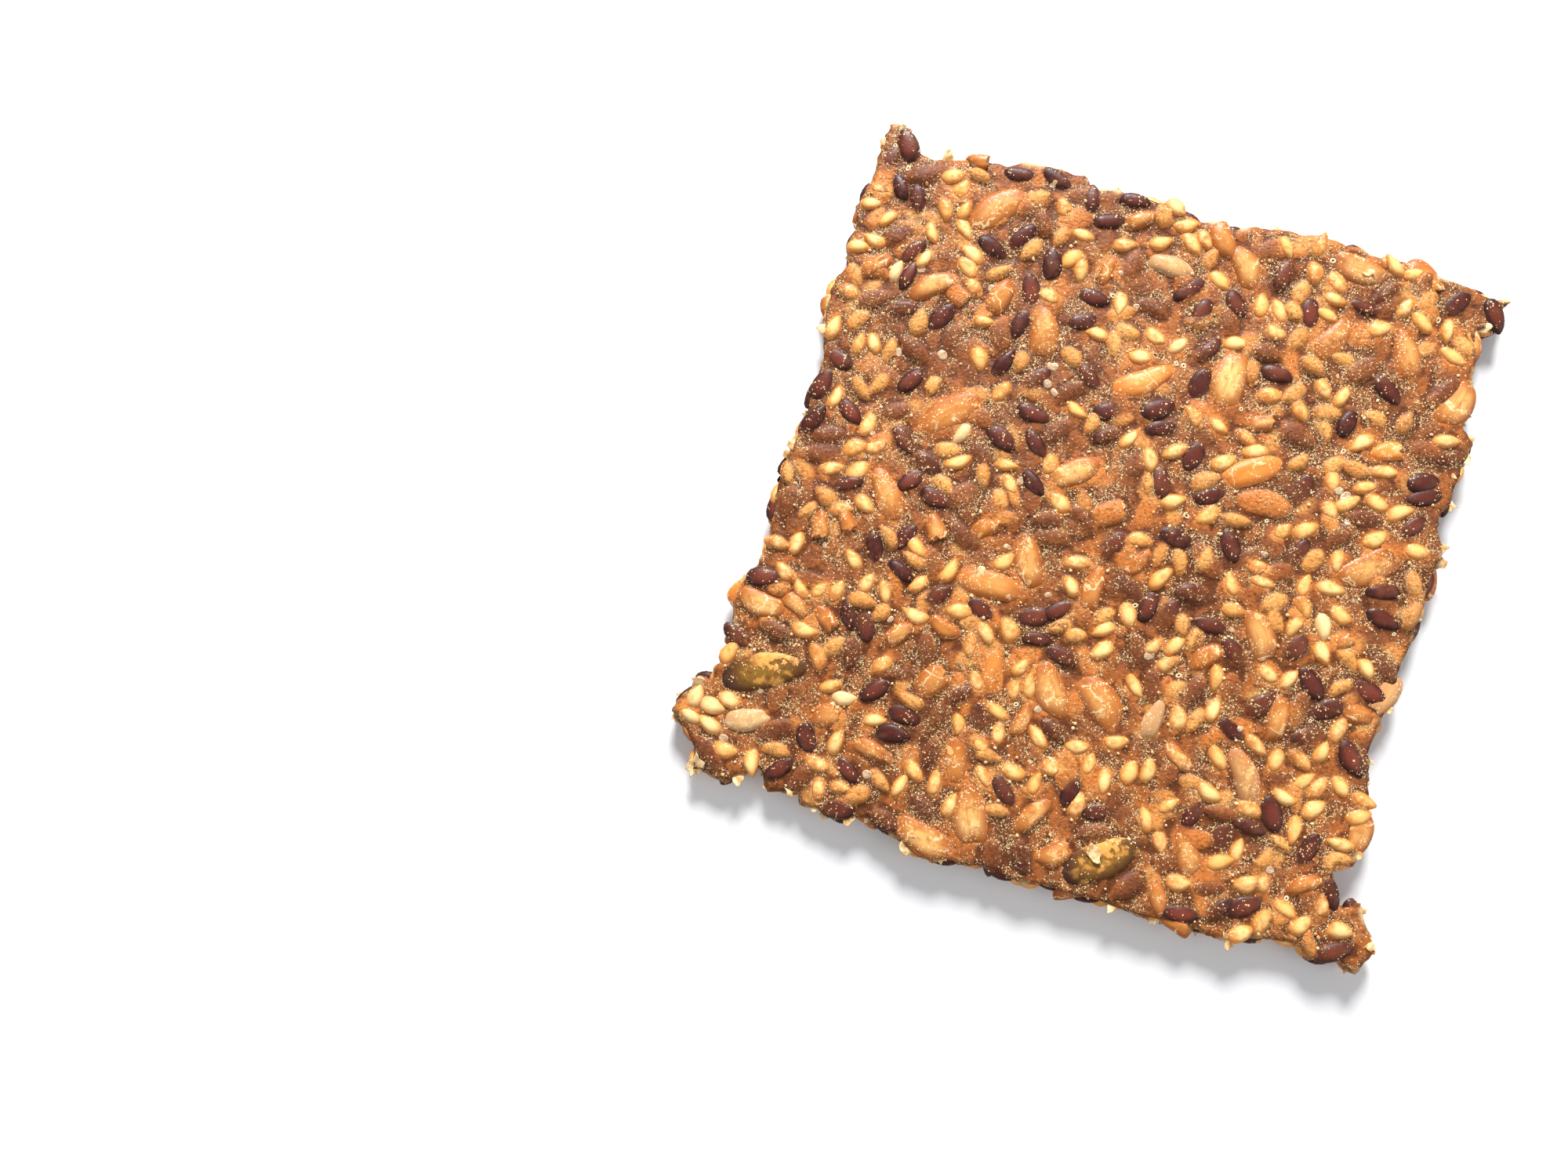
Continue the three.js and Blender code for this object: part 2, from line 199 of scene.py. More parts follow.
# %% Dropping seeds on the sheet
class Tray:
    """All seeds of the sheet so far: plain rows of numbers, with the discs that stand for each plan."""

    def __init__(self):
        self.rows = []
        self.discs = np.zeros((0, 3, 2))
        self.widths = np.zeros(0)
        self.faces = np.zeros(0, int)

    def plan(self, x, y, turn, length, width):
        reach = (length - width) / 2
        shifts = np.array([-reach, 0, reach])
        return np.stack([x + math.cos(turn) * shifts, y + math.sin(turn) * shifts], 1)

    def crowding(self, discs, width, face):
        gaps = np.linalg.norm(self.discs[:, :, None] - discs[None, None], axis=3).min((1, 2))
        depth = (self.widths + width) / 2 - gaps
        return depth[self.faces & face > 0].max(initial=-1)

    def add(self, kind, face, x, y, turn, length, bold=False):
        width = length * SLIM[kind]
        self.rows.append((kind, face, x, y, turn, length, width, bold))
        self.discs = np.concatenate([self.discs, self.plan(x, y, turn, length, width)[None]])
        self.widths = np.append(self.widths, width)
        self.faces = np.append(self.faces, face)


UPPER, LOWER, RIM = 1, 2, 4
BOTH = UPPER | LOWER
tray = Tray()


def depth_inside(x, y):
    start, end = outline, np.roll(outline, -1, 0)
    straddles = (start[:, 1] > y) != (end[:, 1] > y)
    rise = np.where(straddles, end[:, 1] - start[:, 1], 1)
    crossing = (end[:, 0] - start[:, 0]) * (y - start[:, 1]) / rise + start[:, 0]
    inside = (straddles & (x < crossing)).sum() % 2
    nearest = np.hypot(outline[:, 0] - x, outline[:, 1] - y).min()
    return nearest if inside else -nearest


def scatter(kind, face, count, overlap=SEED_OVERLAP, inset=EDGE_INSET, tries=TRIES_PER_SEED):
    for _ in range(count):
        length = between(*LENGTHS[kind])
        width = length * SLIM[kind]
        for _ in range(tries):
            x = between(-HALF_SPAN, HALF_SPAN)
            y = between(-HALF_SPAN, HALF_SPAN)
            turn = between(0, 2 * math.pi)
            discs = tray.plan(x, y, turn, length, width)
            rooted = min(depth_inside(*disc) for disc in discs) > inset
            if rooted and tray.crowding(discs, width, face) < overlap:
                tray.add(kind, face, x, y, turn, length)
                break


def place_by_hand(kind, places):
    for x, y, degrees in places:
        tray.add(kind, UPPER, x, y, math.radians(degrees), between(*LENGTHS[kind]), bold=True)


for kind, places in (("pumpkin", BOLD_PUMPKIN), ("sunflower", WHOLE_KERNELS + KERNEL_PIECES)):
    for x, y, degrees, length in places:
        tray.add(kind, BOTH, x, y, math.radians(degrees), length, bold=True)
place_by_hand("flax", BOLD_FLAX)
place_by_hand("sesame", BOLD_SESAME)
scatter("flax", LOWER, 42)
scatter("sesame", LOWER, 22)
print("seeds of the fixed model:", len(tray.rows))

# %% More flax and sesame of the smooth face
MORE_FLAX = [
    (-41.9, 43.4, 80), (-18.7, 46.6, -20), (-10.1, 42.5, 20), (-7.5, 46.2, 5), (-16.0, 34.7, 105),
    (-1.2, 32.1, -15), (-18.4, 19.3, 65), (-2.8, 16.6, 20), (-2.3, 13.2, 35), (-12.5, 13.4, -10),
    (-41.7, 9.6, 75), (-41.4, 4.3, 65), (-28.4, 5.0, -40), (-10.0, 4.1, -40), (-34.6, 27.9, 80),
    (-17.8, 25.4, 75), (-9.3, 31.4, -5), (-20.9, 37.2, 60), (42.3, 43.2, -60), (19.1, 36.8, -80),
    (16.9, 27.5, -5), (31.4, 29.3, -35), (7.6, 28.6, 60), (7.6, 23.2, 80), (27.5, 23.6, 75),
    (4.3, 16.1, 20), (9.4, 13.6, 80), (10.0, 2.1, -5), (39.1, 12.3, 55), (30.7, 8.9, 45),
    (37.6, 2.9, 15), (25.9, 4.6, 75), (24.1, 13.2, 75), (25.9, 39.6, -10), (9.1, -7.6, 80),
    (11.9, -8.1, 70), (39.1, -10.4, -10), (26.2, -16.3, 50), (33.2, -18.3, 30), (39.1, -19.4, -50),
    (21.6, -32.6, 70), (29.1, -31.7, -5), (26.0, -34.2, 70), (36.9, -32.4, 75), (6.0, -34.2, 80),
    (31.2, -41.7, 35), (23.7, -45.1, 10), (2.5, -44.7, -60), (43.2, -43.8, 35), (1.9, -27.2, -20),
    (31.8, -11.5, -45), (-34.0, -2.9, 25), (-24.5, -7.9, 60), (-27.9, -10.8, -70), (-17.9, -14.4, 50),
    (-11.9, -14.5, -20), (-4.7, -13.3, 20), (-1.9, -11.5, 40), (-3.6, -16.1, 10), (-26.1, -21.1, -65),
    (-42.3, -27.5, -20), (-17.6, -31.1, 0), (-18.6, -34.0, 8), (-13.1, -29.4, 70), (-11.3, -26.1, 40),
    (-8.1, -28.3, -60), (-12.9, -35.1, 85), (-22.9, -40.4, -30), (-31.7, -42.9, 50), (-28.8, -43.3, 70),
    (-41.5, -43.8, -35), (-22.6, -45.8, 5), (-16.0, -45.3, -15), (-26.9, -25.1, -80),
    (-2.2, -36.9, -40),
]
MORE_SESAME = [
    (-32.6, 43.2, 25), (-31.0, 41.4, 70), (-29.7, 38.8, 75), (-32.3, 38.2, -65), (-42.5, 36.6, 15),
    (-39.7, 35.0, 45), (-40.7, 31.4, 170), (-33.2, 34.5, -60), (-28.9, 36.1, -45), (-26.9, 33.0, 150),
    (-27.1, 31.1, 150), (-22.6, 31.4, 40), (-13.2, 39.6, 175), (-7.1, 39.8, 15), (-2.5, 41.3, 35),
    (0.2, 44.6, 25), (1.5, 42.3, -45), (-1.9, 46.8, -20), (-11.9, 34.6, -85), (-5.5, 31.3, -80),
    (-15.1, 30.0, 165), (-4.8, 25.7, -75), (-0.9, 25.0, 10), (-41.9, 23.4, 170), (-36.4, 27.9, 85),
    (-21.8, 18.9, -60), (-42.5, 17.9, 80), (-17.6, 15.2, 60), (-7.1, 15.4, -25), (-33.9, 5.9, 80),
    (-31.8, 3.2, 40), (-34.6, 2.1, 30), (-20.5, 4.1, 35), (-12.8, 2.9, -50), (-8.5, 7.0, -95),
    (-6.0, 2.5, 150), (-14.1, 5.5, 10), (-38.4, 16.4, 85), (-39.3, 8.4, 80), (-9.8, 22.5, -35),
    (3.0, 43.2, -50), (6.4, 38.2, -35), (18.0, 46.6, 80), (21.4, 42.0, -40), (30.9, 45.9, 30),
    (36.9, 39.3, -85), (15.1, 36.1, 125), (15.4, 33.0, -20), (33.5, 39.6, -40), (0.3, 28.2, -20),
    (3.5, 27.9, 55), (23.4, 27.1, -50), (25.9, 26.8, 70), (16.8, 24.3, 20), (21.2, 23.4, -45),
    (29.9, 21.4, 230), (40.3, 24.6, 20), (11.4, 18.4, -20), (17.1, 16.4, 20), (27.3, 17.5, 40),
    (22.8, 16.6, 50), (33.7, 18.4, 10), (31.9, 15.7, 20), (27.6, 15.2, -75), (13.4, 13.8, 40),
    (30.1, 12.9, 40), (33.7, 14.1, -20), (28.2, 11.4, -50), (4.0, 11.4, -65), (0.7, 13.6, 60),
    (23.0, 6.8, 55), (25.9, 7.9, 45), (34.8, 9.3, 45), (30.9, 5.0, -85), (30.9, 1.3, 5),
    (27.6, 0.7, 80), (5.6, 0.5, 5), (21.4, 1.4, 0), (14.4, 0.4, 80), (38.4, 36.1, -20),
    (28.3, -2.2, -50), (33.0, -1.7, 145), (18.5, -1.7, 115), (19.8, -5.1, 5), (-1.3, -8.1, -50),
    (6.9, -9.7, -60), (11.2, -12.6, 55), (13.8, -11.7, 60), (4.3, -12.4, 215), (20.0, -14.4, -85),
    (20.7, -18.3, 85), (10.3, -18.5, -50), (38.0, -7.6, -50), (32.1, -7.2, -60), (26.2, -11.9, -30),
    (28.9, -11.8, 60), (35.3, -19.7, 70), (33.0, -21.5, -30), (27.1, -21.3, -35), (30.1, -22.4, 80),
    (23.0, -24.4, -45), (36.0, -24.2, 70), (38.7, -23.3, -50), (42.0, -24.2, -5), (41.9, -26.3, 30),
    (9.8, -26.3, 20), (5.3, -28.3, 20), (32.3, -26.7, -10), (23.0, -29.0, -15), (28.4, -29.5, -10),
    (12.6, -29.5, 85), (7.3, -30.1, 80), (9.8, -31.7, -80), (3.4, -31.7, 10), (1.3, -34.7, 80),
    (7.3, -35.6, 85), (16.2, -34.7, 120), (28.4, -35.1, 85), (31.9, -35.1, 75), (30.7, -38.8, 40),
    (40.3, -38.6, 90), (40.5, -30.4, 180), (33.7, -42.9, 80), (31.6, -45.1, 40), (43.2, -41.0, 15),
    (38.5, -41.7, 50), (22.5, -41.3, 10), (18.5, -32.2, 50), (-33.3, -0.8, 50), (-34.0, -6.7, 20),
    (-26.6, -8.5, 140), (-22.6, -8.8, -35), (-22.4, -10.6, 160), (-17.4, -10.6, 75), (-10.8, -7.4, 50),
    (-1.3, -4.7, 10), (-41.0, -13.6, 0), (-38.5, -12.8, 80), (-30.3, -12.9, 140), (-38.8, -17.2, 150),
    (-36.1, -18.8, 130), (-31.3, -17.8, 80), (-24.9, -16.0, -65), (-27.6, -17.9, 0),
    (-14.7, -15.5, 190), (-20.1, -17.8, 170), (-11.9, -19.5, 105), (-7.6, -16.0, 120),
    (-10.4, -17.4, -40), (-4.7, -20.4, 60), (-2.9, -22.4, 100), (-4.7, -23.5, -85), (-9.7, -24.0, 125),
    (-33.8, -24.0, 0), (-31.1, -27.0, -60), (-29.4, -24.9, 50), (-42.9, -29.9, 75), (-17.4, -29.0, 170),
    (-28.3, -30.3, 35), (-26.1, -31.3, 10), (-10.4, -30.3, -80), (-5.1, -29.7, 100), (-5.4, -32.9, 0),
    (-7.0, -31.9, -40), (-2.0, -34.0, 170), (-5.3, -35.8, -50), (-21.3, -32.9, 20), (-25.4, -37.2, 85),
    (-41.0, -36.1, 165), (-43.1, -37.6, 0), (-45.6, -36.9, 80), (-42.6, -40.1, 160), (-15.6, -40.2, 70),
    (-8.5, -40.8, 80), (-32.9, -40.6, 5), (-26.9, -40.8, -10), (-23.1, -42.9, 10), (-25.9, -44.0, -80),
    (-35.6, -43.3, -75), (-39.5, -42.8, 5), (-36.9, -1.5, 20),
]

place_by_hand("flax", MORE_FLAX)
place_by_hand("sesame", MORE_SESAME)
print("with those placed by hand:", len(tray.rows))

# %% Small seeds by chance
scatter("flax", UPPER, 50, overlap=0.8, inset=0.7, tries=200)
scatter("sesame", UPPER, 90, overlap=0.8, inset=0.5, tries=200)
scatter("flax", LOWER, 60, overlap=0.6, inset=0.7)
scatter("sesame", LOWER, 300, overlap=0.6, inset=0.5)
print("with those by chance:", len(tray.rows))

# %% [markdown]
# ## Seeds in the broken edge
# A break runs round the seeds rather than through them, so they stick out of it. They are laid along the
# outline at nearly even steps, roughly in line with it, and kept only where they are rooted in the dough.

# %% Seeds that stick out of the broken edge
RIM_SEEDS = {"sunflower": 22, "flax": 54, "sesame": 110}
RIM_REACH = (0.2, 1.0)      # how far they stand out of the edge
RIM_LENGTH = 0.9            # of a seed's usual length
RIM_TURN = 0.7              # radians out of line with the edge, either way
RIM_INSET = 0.2             # the middles of all three discs lie at least this far inside


def add_rim_seeds():
    ahead = np.roll(outline, -1, 0) - outline
    run = np.hypot(*ahead.T)
    for kind, count in RIM_SEEDS.items():
        spots = (np.arange(count) + rng.uniform(0, 0.8, count)) / count * run.sum()
        for spot in spots:
            index = min(np.searchsorted(run.cumsum(), spot), len(run) - 1)
            length = rng.uniform(*LENGTHS[kind]) * RIM_LENGTH
            turn = math.atan2(ahead[index, 1], ahead[index, 0]) + rng.uniform(-RIM_TURN, RIM_TURN)
            inward = np.array([ahead[index, 1], -ahead[index, 0]]) / run[index]
            depth = length * SLIM[kind] / 2 - rng.uniform(*RIM_REACH)
            x, y = outline[index] + ahead[index] * rng.random() + inward * depth
            discs = tray.plan(x, y, turn, length, length * SLIM[kind])
            if min(depth_inside(*disc) for disc in discs) > RIM_INSET:
                tray.add(kind, RIM, x, y, turn, length)


add_rim_seeds()
print("seeds in all:", len(tray.rows))

# %% [markdown]
# ## How a seed sits in the dough
# Each seed gets a few numbers of its own: how far its top stands above the dough, how much of it the
# film has covered, how it tilts, and whether it was chopped. Real kernels are often broken, so about
# half of the pieces end in a cut face. They are kept as numpy columns, one row per seed. A second lot of
# seeds lies deeper: they never break the film, but raise it and tint it from below.

# %% Columns of seed numbers
FULLNESS = {"pumpkin": 2.2, "sunflower": 2.6, "flax": 2.2, "sesame": 2.25}
TIP = {"pumpkin": 0.30, "sunflower": 0.20, "flax": 0.16, "sesame": 0.36}
PINCH = {"pumpkin": 0.20, "sunflower": 0.14, "flax": 0.22, "sesame": 0.30}
WOBBLE = {"pumpkin": 0.02, "sunflower": 0.06, "flax": 0.03, "sesame": 0.05}
BEND = {"pumpkin": 0.03, "sunflower": 0.16, "flax": 0.06, "sesame": 0.12}
BREADTH = {
    "pumpkin": (0.86, 0.90), "sunflower": (0.86, 1.14), "flax": (0.86, 1.14), "sesame": (0.84, 1.10),
}
RISE = {
    "pumpkin": (0.45, 0.55), "sunflower": (0.35, 0.62), "flax": (0.20, 0.46), "sesame": (0.26, 0.50),
}
BOLD_SHARE = {"pumpkin": 1.0, "sunflower": 0.94, "flax": 0.90, "sesame": 0.92}
LOOSE_SHARE = {"pumpkin": 1.0, "sunflower": 0.6, "flax": 0.25, "sesame": 0.45}
BARE = {
    "pumpkin": (0.16, 0.24), "sunflower": (0.12, 0.40), "flax": (0.0, 0.27), "sesame": (0.06, 0.34),
}
DIP = {"pumpkin": 0.06, "sunflower": 0.22, "flax": 0.10, "sesame": 0.12}
COVERED = (-0.14, 0.0)
SINK = {"pumpkin": 0.5, "sunflower": 0.45, "flax": 0.35, "sesame": 0.35}
TILT = {"pumpkin": 0.01, "sunflower": 0.035, "flax": 0.08, "sesame": 0.07}
DEEP_RISE = (-0.30, 0.05)
DEEP_COVER = (-0.30, -0.05)
TIP_VARIETY = (0.5, 1.3)
RIM_LEVELS = (-0.6, 0.6)    # of the seeds in the broken edge, from the middle of the sheet
BROKEN_SHARE = 0.55         # of the kernels that aren't whole
CUT_PLACES = (0.1, 0.7)     # along the seed, which is 0 at its middle and 1 at its tip
NO_CUT = 2.0


class Seeds:
    """Columns for every seed of one kind, with its plan, its height profile and its cover of film."""

    def __init__(self, kind, rows, deep=False):
        self.kind = kind
        count = len(rows)
        self.face = np.array([row[1] for row in rows])
        self.x, self.y, self.turn, self.length, self.width = np.array([row[2:7] for row in rows], float).T
        bold = np.array([row[7] for row in rows])
        self.width = self.width * rng.uniform(*BREADTH[kind], count)
        self.rise = rng.uniform(*(DEEP_RISE if deep else RISE[kind]), (2, count))
        share = np.where(bold, BOLD_SHARE[kind], 0 if deep else LOOSE_SHARE[kind])
        bare = rng.random((2, count)) < share
        covered = rng.uniform(*(DEEP_COVER if deep else COVERED), (2, count))
        self.bare = np.where(bare, rng.uniform(*BARE[kind], (2, count)), covered)
        self.dip = rng.uniform(-DIP[kind], DIP[kind], (2, count)) * bare
        self.tilt = rng.uniform(-TILT[kind], TILT[kind], (2, count))
        self.bend = rng.uniform(-BEND[kind], BEND[kind], count)
        self.tip = TIP[kind] * rng.uniform(*TIP_VARIETY, count)
        self.phase = rng.uniform(0, 2 * math.pi, (4, count))
        self.tone = rng.random(count)
        self.odd = rng.uniform(-0.5, 0.5, count)
        self.middle = rng.uniform(*RIM_LEVELS, count)
        self.cut = np.full(count, NO_CUT)
        if kind == "sunflower":
            piece = np.arange(count) >= len(WHOLE_KERNELS)
            broken = piece & (rng.random(count) < BROKEN_SHARE)
            self.cut = np.where(broken, rng.uniform(*CUT_PLACES, count), NO_CUT)
            self.tone = np.where(piece, 0.5 + 0.5 * self.tone, 0.85 * self.tone)

    def spine(self, along, index):
        """How far the seed's middle line is bent aside, in mm."""
        return self.bend[index] * self.width[index] * (along ** 2 - 0.3)

    def taper(self, along, index):
        ahead = np.maximum(0, along)
        return (1 - self.tip[index] * ahead) * (1 - PINCH[self.kind] * ahead ** 4)

    def swell(self, angle, index):
        one, two, three, _ = self.phase[:, index]
        waves = np.sin(2 * angle + one) + 0.7 * np.sin(3 * angle + two) + 0.45 * np.sin(5 * angle + three)
        return 1 + WOBBLE[self.kind] * waves


DEEP_INSET = 1.0
DEEP_COUNTS = {"sunflower": 60, "flax": 150, "sesame": 120}     # on each face


def bury(kind, face, count):
    rows = []
    while len(rows) < count:
        x, y = rng.uniform(-HALF_SPAN, HALF_SPAN, 2)
        if depth_inside(x, y) > DEEP_INSET:
            length = rng.uniform(*LENGTHS[kind])
            rows.append((kind, face, x, y, rng.uniform(0, 2 * math.pi), length, length * SLIM[kind], False))
    return rows


seeds = {kind: Seeds(kind, [row for row in tray.rows if row[0] == kind]) for kind in KINDS}
deep_seeds = [
    Seeds(kind, bury(kind, UPPER, count) + bury(kind, LOWER, count), deep=True)
    for kind, count in DEEP_COUNTS.items()
]
print({kind: len(seeds[kind].x) for kind in KINDS})

# %% Seeds of an odd colour
ODD_TONE = 0.1
ODD_BARE = 0.28
ODD_ONES = {
    "sunflower": [(-37.8, -37.9, -0.5), (34.1, 21.4, 0.5)],
    "sesame": [
        (-26.1, -31.3, -0.5), (-43.1, -37.6, -0.48), (-45.6, -36.9, -0.48), (-45.6, -39.7, -0.48),
        (-42.6, -40.1, -0.47), (-41.0, -36.1, -0.47),
    ],
}                           # across, up, how odd the colour is
for kind, places in ODD_ONES.items():
    for x, y, value in places:
        nearest = np.hypot(seeds[kind].x - x, seeds[kind].y - y).argmin()
        seeds[kind].odd[nearest] = value
        seeds[kind].tone[nearest] = ODD_TONE
        seeds[kind].bare[:, nearest] = ODD_BARE
print("odd ones:", {kind: len(places) for kind, places in ODD_ONES.items()})

# %% [markdown]
# ## Height maps
# The film of dough climbs over every seed, so its surface can't be modelled seed by seed. It is worked
# out on a fine grid instead, one for each face: start from the flat dough, raise it smoothly to a little
# below or above each seed, and note in four more maps how strongly each kind of seed shines through. Two
# last maps say where the film lies low, for painted shade and froth, and where pale seeds are near.

# %% Grid helpers
PIXEL = 0.1
MAP_SIDE = 1000
axis = (np.arange(MAP_SIDE) + 0.5) * PIXEL - MAP_SIDE * PIXEL / 2
GRID_X, GRID_Y = np.meshgrid(axis, axis)


def sample(field, x, y):
    column = np.clip((x + MAP_SIDE * PIXEL / 2) / PIXEL - 0.5, 0, MAP_SIDE - 1.001)
    row = np.clip((y + MAP_SIDE * PIXEL / 2) / PIXEL - 0.5, 0, MAP_SIDE - 1.001)
    j, i = column.astype(int), row.astype(int)
    u, v = column - j, row - i
    top = field[i, j] * (1 - u) + field[i, j + 1] * u
    bottom = field[i + 1, j] * (1 - u) + field[i + 1, j + 1] * u
    return top * (1 - v) + bottom * v


def soft_noise(cell):
    """Smooth unevenness between -1 and 1 with bumps about one cell wide."""
    knots = rng.uniform(-1, 1, (int(MAP_SIDE * PIXEL / cell) + 3,) * 2)
    place = (axis - axis[0]) / cell
    j = place.astype(int)
    u = place - j
    u = u * u * (3 - 2 * u)
    rows = knots[j] * (1 - u)[:, None] + knots[j + 1] * u[:, None]
    return rows[:, j] * (1 - u) + rows[:, j + 1] * u


def box_blur(field, reach):
    """Mean over a square of 2 * reach + 1 pixels, along rows and then along columns."""
    for _ in range(2):
        padded = np.pad(field, ((reach + 1, reach), (0, 0)), "edge").cumsum(0)
        field = ((padded[2 * reach + 1:] - padded[:-2 * reach - 1]) / (2 * reach + 1)).T
    return field


def lump(x, y):
    across = np.sin(x / LUMP_LENGTH + np.sin(y / LUMP_LENGTH))
    aslant = np.cos((y - x * LUMP_SLANT) / LUMP_LENGTH)
    return LUMP_HEIGHT * (across + aslant)


def bow(x, y):
    from_middle = np.minimum(1, np.hypot(x, y) / BOW_RADIUS)
    return BOW_HEIGHT * (1 - from_middle ** 2)


# %% The film over the seeds
CLIMB = 0.16                # how softly the film leaves the flat dough to climb a seed
GAP_DEPTH = (0.10, 0.25)    # how far the dough between the seeds lies below the level, on each face
SHINE_DEPTH = {"pumpkin": 0.30, "sunflower": 0.34, "flax": 0.26, "sesame": 0.26}
SHINE_FADE = {"pumpkin": 0.4, "sunflower": 0.65, "flax": 0.35, "sesame": 0.5}
DOME = 2.5                  # the profile of a seed's top: 2 is an ellipsoid, more is flatter
FILM_WAVE = (0.07, 1.4)     # height and width of the film's own bumps, coarse and fine
FILM_RIPPLE = (0.05, 0.6)
POCK_DEPTH = (0.12, 0.24)   # on each face
POCK_WIDTH = 4
FILM_BRIM = 1.2             # how far out the film climbs a seed, whose own edge is 1
GLOW_BRIM = 1.12            # and how far out the seed tints it
HOLLOW_REACH = 12           # pixels of the map that a place is compared with
HOLLOW_DEPTH = 0.14
WARM_REACH = 7


def dome(rho):
    return np.sqrt(np.maximum(0, 1 - np.minimum(rho, 1) ** DOME))


def window(x, y, reach):
    low = MAP_SIDE / 2 + (np.array([y, x]) - reach) / PIXEL
    high = MAP_SIDE / 2 + (np.array([y, x]) + reach) / PIXEL
    (i0, j0), (i1, j1) = np.clip(low, 0, MAP_SIDE).astype(int), np.clip(high, 0, MAP_SIDE).astype(int)
    return slice(i0, i1), slice(j0, j1)


def seed_field(group, index, side, level, box):
    """Height of the seed's top in the window, and its plan radius rho, which is 1 at its edge."""
    dx = GRID_X[box] - group.x[index]
    dy = GRID_Y[box] - group.y[index]
    ahead, aside = math.cos(group.turn[index]), math.sin(group.turn[index])
    local_x = dx * ahead + dy * aside
    along = local_x / (group.length[index] / 2)
    local_y = dy * ahead - dx * aside - group.spine(along, index)
    across = local_y / (group.width[index] / 2 * group.taper(np.clip(along, -1, 1), index))
    full = FULLNESS[group.kind]
    rho = (np.abs(along) ** full + np.abs(across) ** full) ** (1 / full)
    rho = rho / group.swell(np.arctan2(across, along), index)
    rho = np.where(along > group.cut[index], 9, rho)
    sink = SINK[group.kind]
    height = level - sink + (group.rise[side, index] + sink) * dome(rho)
    height = height + group.tilt[side, index] * (local_x + 0.6 * local_y)
    cover = height - group.bare[side, index] - group.dip[side, index] * np.clip(along, -1, 1)
    return height, cover, rho


def face_maps(side):
    flag = (UPPER, LOWER)[side]
    level = DOUGH_THICKNESS / 2 + (lump(GRID_X, GRID_Y) if side == 0 else lump(GRID_Y, -GRID_X))
    film = level - GAP_DEPTH[side]
    for height, cell in (FILM_WAVE, FILM_RIPPLE):
        film = film + height * soft_noise(cell)
    film -= POCK_DEPTH[side] * soft_noise(POCK_WIDTH) ** 2
    shine = {kind: np.zeros_like(film) for kind in KINDS}
    fields = []
    for group in [*deep_seeds, *seeds.values()]:
        for index in np.flatnonzero(group.face & flag):
            box = window(group.x[index], group.y[index], group.length[index] / 2 + 1)
            height, cover, rho = seed_field(group, index, side, level[box], box)
            blend = np.clip(0.5 + 0.5 * (cover - film[box]) / CLIMB, 0, 1)
            raised = film[box] * (1 - blend) + cover * blend + CLIMB * blend * (1 - blend)
            film[box] = np.where(rho < FILM_BRIM, np.maximum(film[box], raised), film[box])
            fields.append((group.kind, box, height, rho))
    for kind, box, height, rho in fields:
        depth = np.maximum(0, film[box] - height)
        plan = np.clip((GLOW_BRIM - rho) / SHINE_FADE[kind], 0, 1)
        glow = plan * np.exp(-depth / SHINE_DEPTH[kind])
        for other in KINDS:
            shine[other][box] *= 1 - glow * (other != kind)
        shine[kind][box] = np.maximum(shine[kind][box], glow)
    # where the film lies below its surroundings: the dough's colour takes painted shade there, and froth
    # and crumbs gather there
    hollow = np.clip((box_blur(film, HOLLOW_REACH) - film) / HOLLOW_DEPTH + 0.30, 0, 1)
    pale = np.maximum(shine["sesame"], shine["sunflower"])
    near_pale = box_blur(box_blur(pale, WARM_REACH), WARM_REACH)
    warm = np.clip(2.6 * near_pale + 0.05 + 0.25 * soft_noise(5), 0, 1)
    return {"film": film, "hollow": hollow, "warm": warm, "level": level, **shine}


maps = [face_maps(0), face_maps(1)]
for side, name in enumerate(("upper", "lower")):
    print(name, "film from", round(maps[side]["film"].min(), 2), "to", round(maps[side]["film"].max(), 2))

# %% [markdown]
# ## From numbers to a mesh
# numpy arrays of points and triangles go into Blender in one call each, which takes a fraction of the
# time that adding faces one by one would. Numbers that the materials need later, such as how strongly a
# flax seed shines through, are stored at the vertices under a plain name.

# %% Mesh helper
pieces = {}


def joined(points):
    """One array of points, raised to the middle of the bowed sheet."""
    points = np.concatenate(points)
    points[:, 2] += MIDDLE_HEIGHT + bow(points[:, 0], points[:, 1])
    return points


def make_piece(name, points, triangles, marks):
    mesh = bpy.data.meshes.new(name)
    points[:, 2] = np.maximum(points[:, 2], 0)
    mesh.vertices.add(len(points))
    mesh.vertices.foreach_set("co", (points * MM).astype(np.float32).ravel())
    mesh.loops.add(triangles.size)
    mesh.loops.foreach_set("vertex_index", triangles.astype(np.int32).ravel())
    mesh.polygons.add(len(triangles))
    mesh.polygons.foreach_set("loop_start", np.arange(0, triangles.size, 3, dtype=np.int32))
    mesh.update(calc_edges=True)
    mesh.shade_smooth()
    for mark, values in marks.items():
        vector = values.ndim == 2
        layer = mesh.attributes.new(mark, "FLOAT_VECTOR" if vector else "FLOAT", "POINT")
        layer.data.foreach_set("vector" if vector else "value", values.astype(np.float32).ravel())
    piece = bpy.data.objects.new(name, mesh)
    bpy.context.scene.collection.objects.link(piece)
    pieces[name] = piece
    print(name, len(points), "points", len(triangles), "triangles")


# %% [markdown]
# ## The dough
# The dough is made as two closed halves that meet inside the sheet, one for each face, so that each can
# be as fine as it needs to be. A face is a cloud of evenly spread points joined by triangles that keep to
# the broken outline. Its height comes from the map. The wall between the faces is a few rings that step
# in and out, because a broken edge is never a clean cut.

# %% The rim and the points inside it
RIM_PITCH = 0.4
RIM_BITE = 0.35
RIM_MARGIN = 6              # pixels of the map that stay free of points along the rim
HEX_ROW = math.sqrt(3) / 2
HALF_CLOUD = 49
CLOUD_JITTER = 0.18         # of the pitch
WELL_INSIDE = 0.995         # the blurred map below falls from 1 to 0 across the rim


